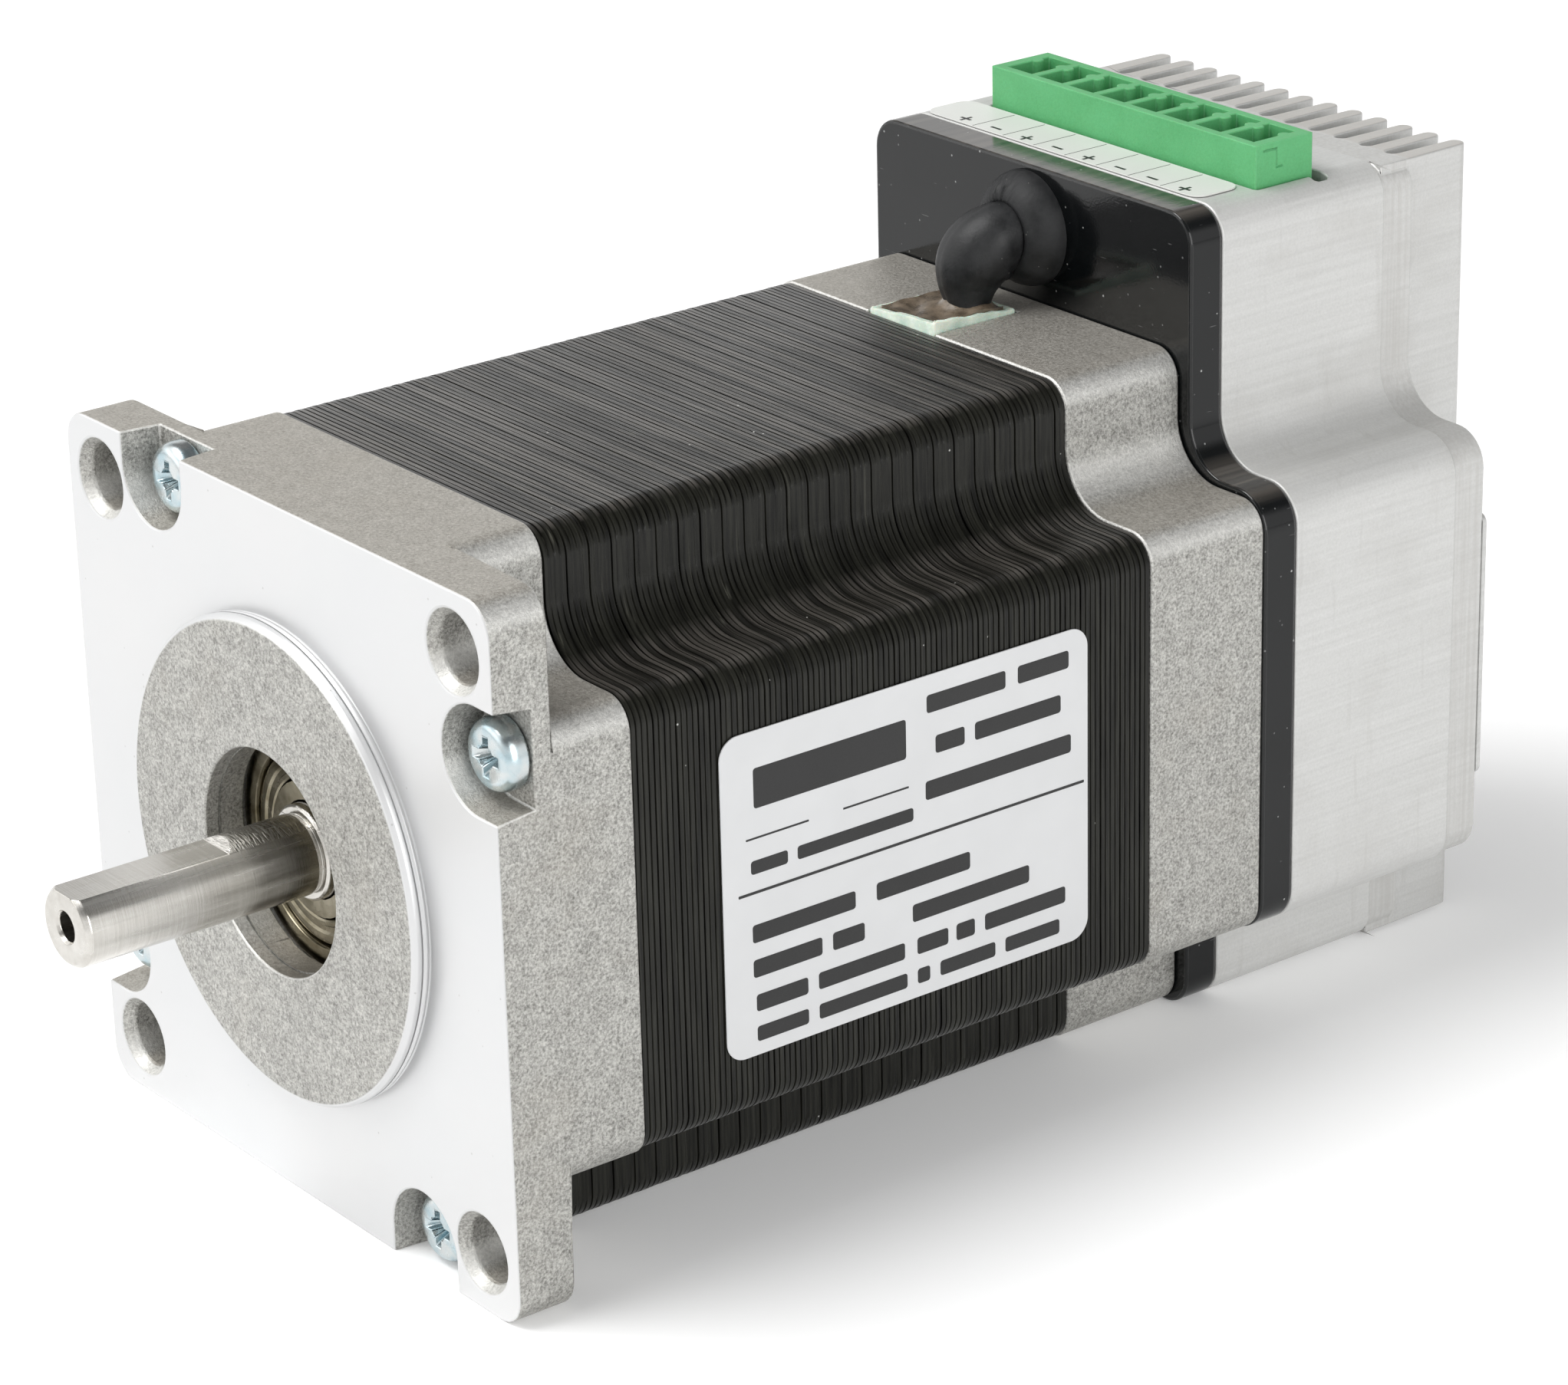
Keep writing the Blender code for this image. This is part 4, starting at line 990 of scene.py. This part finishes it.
def make_plate():
    y0, y1 = Y_PLATE, Y_HOUSING - GAP
    holes = rod(new(), GROMMET_R - 0.65, y0 - 1, y1 + 1, (0, GROMMET_Z), 64)
    rod(holes, 6.0, y0 - 1, y1 + 1)
    for spot in PLATE_SCREWS:
        turned(holes, [(0, y0 - 1), (1.45, y0 - 1), (1.45, y1 - 1.5), (2.95, y1), (2.95, y1 + 1),
                       (0, y1 + 1)], 24, spot)
    for spot in HOUSING_SCREWS:
        rod(holes, 1.7, y0 + 0.5, y1 + 1, spot, 24)
    mesh = carved("plate", prism(new(), stepped_outline(**DRIVER), y0, y1), [("-", holes)])
    soften(piece("anodised_plate", mesh, ANODISED, "black_anodised", "adapter_plate"), 0.22, 3)


def fin_outline():
    """The heat sink's comb in x and y: fins with round tips, and scooped valleys between them."""
    half, taper = FIN_T / 2, 0.12
    left = -(FIN_COUNT - 1) / 2 * FIN_PITCH
    gap = FIN_PITCH - FIN_T - 2 * taper
    points = [(left - half - taper, Y_STEP + 0.4), (left - half - taper, Y_BACK + 0.5)]
    for i in range(FIN_COUNT):
        mid = left + i * FIN_PITCH
        points += arc(mid, Y_FINS - half, half, 180, 0, 12)
        foot = mid + half + taper
        if i < FIN_COUNT - 1:
            points += arc(foot + gap / 2, Y_BACK + gap / 2, gap / 2, 180, 360, 8)
        else:
            points += [(foot, Y_BACK + 0.5), (foot, Y_STEP + 0.4)]
    return points


def make_housing():
    z0, z1 = -DRIVER["bottom"] + STRIP_INSET, DRIVER["top"] - STRIP_INSET
    strip = prism(new(), stepped_outline(**DRIVER, inset=STRIP_INSET), Y_STEP - 1, Y_BACK)
    fins = flat_slab(new(), fin_outline(), z0, z1)
    pads = new()
    for side in (-1, 1):
        low, high = sorted((side * 19.6, side * 27.85))
        prism(pads, rounded_box(low, high, -11.3, 11.3, 0.8), Y_BACK - 1, Y_BACK + 0.6)
    inside = prism(new(), stepped_outline(**DRIVER, inset=WALL_T), Y_HOUSING - 1, BASE_INSIDE)
    columns = new()
    for spot in HOUSING_SCREWS:
        rod(columns, 3.1, Y_HOUSING + 0.1, BASE_INSIDE + 0.5, spot, 32)
    for spot in BOARD_SCREWS:
        rod(columns, 2.4, POWER_BACK, BASE_INSIDE + 0.5, spot, 32)
    slot = flat_slab(new(), rounded_box(*HEADER_SLOT, 0.4), 35, 41)
    corner = flat_slab(new(), rounded_box(*SLOT_CORNER, 0.4), 36, 42)
    holes = box(new(), -4.4, 4.4, Y_HOUSING - 1, 77.6, 35, 38.2)
    for spot in HOUSING_SCREWS:
        turned(holes, [(0, Y_HOUSING - 1), (1.7, Y_HOUSING - 1), (1.7, 94.2), (3.1, 94.2),
                       (3.1, Y_BACK + 2), (0, Y_BACK + 2)], 40, spot)
    for spot in BOARD_SCREWS:
        rod(holes, 1.15, 88, 94.6, spot, 16)
    mesh = carved("housing", prism(new(), stepped_outline(**DRIVER), Y_HOUSING, Y_STEP), [
        ("+", strip), ("+", fins), ("+", pads), ("-", inside),
        ("+", columns), ("-", slot), ("-", corner), ("-", holes)])
    soften(piece("finned_housing", mesh, ALUMINIUM, "pale_aluminium", "driver_housing"), 0.12)


def make_housing_screws():
    for number, spot in enumerate(HOUSING_SCREWS, 1):
        body = turned(new(), [(0, 73.4), (SCREW_R, 73.4), (SCREW_R, 94.25), (2.6, 94.25),
                              (2.75, 94.4), (2.75, 96.2), (2.6, 96.45), (2.2, 96.6), (0, 96.6)],
                      48, spot)
        socket = prism(new(), arc(*spot, 1.45, 0, 360, 6)[:-1], 95.1, 98)
        mesh = carved("socket_screw", body, [("-", socket)])
        soften(piece(f"socket_screw_{number}", mesh, ZINC, "zinc_plate", f"housing_screw_{number}"),
               0.06)


# ---- header

def pin_x(way):
    return (HEADER["x0"] + HEADER["x1"]) / 2 + (way - (WAYS - 1) / 2) * PITCH


def make_header():
    """Green shell with eight keyed cavities, and a moulding mark on its right end."""
    h = HEADER
    front, back, floor = h["y0"] + 0.8, h["y1"] - 0.8, h["z0"] + 1.4
    half, key = 1.5, 0.5
    cavities, slots = new(), new()
    for way in range(WAYS):
        x = pin_x(way)
        outline = ([(x - half, front), (x + half, front)]
                   + arc(x + half, back - 1.25, key, 270, 90, 10)
                   + [(x + half, back), (x - half, back)]
                   + arc(x - half, back - 1.25, key, 90, -90, 10))
        flat_slab(cavities, outline, floor, h["z1"] + 1)
        box(slots, x - 0.5, x + 0.5, PIN_Y - 0.5, PIN_Y + 0.5, h["z0"] - 1, floor + 0.5)
    depth, line = 0.16, 0.12
    end = h["x1"]
    mark = box(new(), end - depth, end + 1, 83.4, 83.4 + line, 40.35, 41.95)
    foot = box(new(), end - depth, end + 1, 83.4, 84.15, 40.35, 40.35 + line)
    arm = box(new(), end - depth * 0.6, end + 1, 82.05, 83.45, 41.85, 41.85 + line)
    mesh = carved("header", box(new(), **h), [("-", solid) for solid in
                                              (cavities, slots, mark, foot, arm)])
    soften(piece("header_shell", mesh, GREEN, "green_plastic", "terminal_header"), 0.09)


# ---- labels

# Plain bars where a rating label has its lines of print: (z of the middle, height, spans of y)
PRINT_ROWS = (
    (8.4, 4.4, ((22.4, 36.6),)),
    (4.5, 0.22, ((21.6, 27.4), (30.6, 36.8))),
    (2.2, 1.5, ((22.0, 25.4), (26.3, 37.2))),
    (10.6, 2.0, ((38.6, 46.2), (47.4, 52.4))),
    (7.2, 2.0, ((39.4, 42.2), (43.2, 51.6))),
    (3.7, 2.1, ((38.4, 52.6),)),
    (0.2, 0.32, ((20.8, 53.9),)),
    (-3.1, 2.0, ((22.0, 31.6), (33.6, 42.6))),
    (-5.9, 2.0, ((22.0, 28.4), (29.4, 32.4), (37.0, 48.4))),
    (-8.7, 1.9, ((22.2, 27.0), (28.0, 36.2), (37.4, 40.4), (41.2, 43.0), (44.0, 52.0))),
    (-11.2, 1.7, ((22.2, 27.0), (28.0, 36.4), (37.4, 38.6), (39.6, 45.0), (46.0, 51.4))),
)


def make_side_label():
    face = BODY["half"] - STACK_INSET + LABEL_LIFT
    panel = rounded_box(19.4, 54.3, -12.9, 12.9, 1.7, 12)
    sheet = piece("side_label_sheet", upright_slab(new(), panel, face, face + LABEL_T), SIDE_FILM,
                  "label_film", "side_label")
    soften(sheet, 0.03)
    bars = new()
    top = face + LABEL_T
    for middle, height, spans in PRINT_ROWS:
        for left, right in spans:
            r = min(0.35, height * 0.3)
            half = height * 0.36
            outline = rounded_box(left, right, middle - half, middle + half, r * 0.7, 4)
            upright_slab(bars, outline, top - 0.03, top + 0.012)
    piece("side_label_bars", bars, INK, "label_film")


TERMINAL_SIGNS = "+-+-+--+"


def make_terminal_label():
    z0 = DRIVER["top"] + LABEL_LIFT
    strip = rounded_box(-17.2, 16.2, Y_HOUSING + 0.05, 80.6, 1.3, 10)
    sheet = piece("terminal_label_sheet", flat_slab(new(), strip, z0, z0 + LABEL_T), TERMINAL_FILM,
                  "label_film", "terminal_label")
    soften(sheet, 0.03)
    marks = new()
    low, high = z0 + LABEL_T - 0.03, z0 + LABEL_T + 0.012
    arm, stroke, sign_y, shift = 0.62, 0.13, 76.75, -0.6

    def bar(x0, x1, y0, y1):
        flat_slab(marks, [(x0, y0), (x1, y0), (x1, y1), (x0, y1)], low, high)

    for way, sign in enumerate(TERMINAL_SIGNS):
        x = pin_x(way) + shift
        bar(x - arm, x + arm, sign_y - stroke, sign_y + stroke)
        if sign == "+":
            bar(x - stroke, x + stroke, sign_y + stroke + 0.01, sign_y + arm)
            bar(x - stroke, x + stroke, sign_y - arm, sign_y - stroke - 0.01)
        if way:
            edge = x - PITCH / 2
            bar(edge - 0.03, edge + 0.03, Y_HOUSING + 0.1, 80.3)
    piece("terminal_label_marks", marks, INK, "label_film")


# ---- pieces kept from the solids

def dress_kept_nodes():
    """Solids that keep their shape get the finish of what they are made of."""
    for surface, names in (
            (COPPER, [f"coil_{i + 1}" for i in range(POLES)] + ["lead_bundle"]),
            (NYLON, ["front_insulator", "rear_insulator"]),
            (LAMINATIONS, ["front_rotor_core", "rear_rotor_core"]),
            (MAGNET, ["rotor_magnet"]),
            (BEARING, ["front_bearing_inner_race", "rear_bearing_inner_race",
                       "rear_bearing_outer_race", "front_bearing_cage", "rear_bearing_cage"]),
            (STEEL, ["wave_washer"]),
            (ZINC, ["plate_screw_1", "plate_screw_2", "board_screw_1", "board_screw_2"]),
            (BOARD, ["control_board", "power_board"]),
            (BLACK_PLASTIC, ["controller_chip", "board_connector", "power_module"]),
            (CAN, ["capacitor"]),
            (PAD, ["thermal_pad"]),
            (TIN, [f"header_pin_{i + 1}" for i in range(WAYS)])):
        for name in names:
            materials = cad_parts[name].data.materials
            materials.clear()
            materials.append(surface)


# ---- studio

def make_floor():
    s = Surface("floor", Specular_IOR_Level=0.1, Emission_Color=(1, 1, 1, 1),
                Emission_Strength=0.14)
    s.paint(s.mix(s.noise(0.02), (0.90, 0.90, 0.90), (0.93, 0.93, 0.93)), 0.9)
    reach = 3.0
    mesh = bpy.data.meshes.new("floor")
    mesh.from_pydata([(-reach, -reach, 0), (reach, -reach, 0), (reach, reach, 0),
                      (-reach, reach, 0)], [], [(0, 1, 2, 3)])
    mesh.materials.append(s.material)
    link("floor", mesh)


def area_light(name, place, aim, size, power):
    data = bpy.data.lights.new(name, "AREA")
    data.shape = "RECTANGLE"
    data.size, data.size_y = size
    data.energy = power
    lamp = link(name, data)
    lamp.location = place
    lamp.rotation_euler = (Vector(aim) - Vector(place)).to_track_quat("-Z", "Y").to_euler()


def studio_world():
    """A room bright near the horizon and at the upper left front, and dim overhead."""
    world = bpy.data.worlds.new("studio")
    world.use_nodes = True
    n = Nodes(world.node_tree)
    background = n.tree.nodes["Background"]
    background.inputs["Color"].default_value = (1, 1, 1, 1)
    direction = n.add("TexCoord").outputs["Generated"]
    window = Vector((-0.45, -0.60, 0.66)).normalized()
    low = n.between(n.split(direction)["Z"], 0.34, 0.62, 0.85, 0.0, interpolation_type="SMOOTHSTEP")
    front = n.between(n.vector("DOT_PRODUCT", direction, window), 0.72, 0.90, 0.20, 1.35,
                      interpolation_type="SMOOTHSTEP")
    n.plug(background.inputs["Strength"], n.math("ADD", low, front))
    bpy.context.scene.world = world


def make_lights():
    studio_world()
    centre = (0, 0, 0.03)
    area_light("key", (-0.16, -0.30, 0.66), centre, (0.40, 0.30), 3.4)
    area_light("right", (0.70, -0.10, 0.26), centre, (0.35, 0.5), 2.15)


def make_camera():
    """A long lens at the front right, a little above. In degrees and mm."""
    azimuth, elevation, roll = (radians(d) for d in (52.72, 22.22, -1.42))
    back = Vector((sin(azimuth) * cos(elevation), -cos(azimuth) * cos(elevation), sin(elevation)))
    level = (-back).cross(Vector((0, 0, 1))).normalized()
    upright = level.cross(-back)
    right = level * cos(roll) + upright * sin(roll)
    up = upright * cos(roll) - level * sin(roll)
    data = bpy.data.cameras.new("camera")
    data.lens = 120.1
    data.sensor_width = 36.0
    data.clip_start = 0.01
    camera = link("camera", data)
    aim_right, aim_up, distance = 36.96, 12.28, 389.05
    turn = Matrix((right, up, back)).transposed().to_4x4()
    turn.translation = ORIGIN + (right * aim_right + up * aim_up + back * distance) * MM
    camera.matrix_world = turn
    bpy.context.scene.camera = camera


make_camera()
make_lights()
make_floor()
bpy.context.scene.view_settings.view_transform = "Standard"
make_front_bell()
make_rear_bell()
make_motor_screws()
make_stack()
make_shaft()
make_shield()
make_race()
make_sleeve()
make_grommet()
make_liner()
make_potting()
make_plate()
make_housing()
make_housing_screws()
make_header()
make_side_label()
make_terminal_label()
dress_kept_nodes()
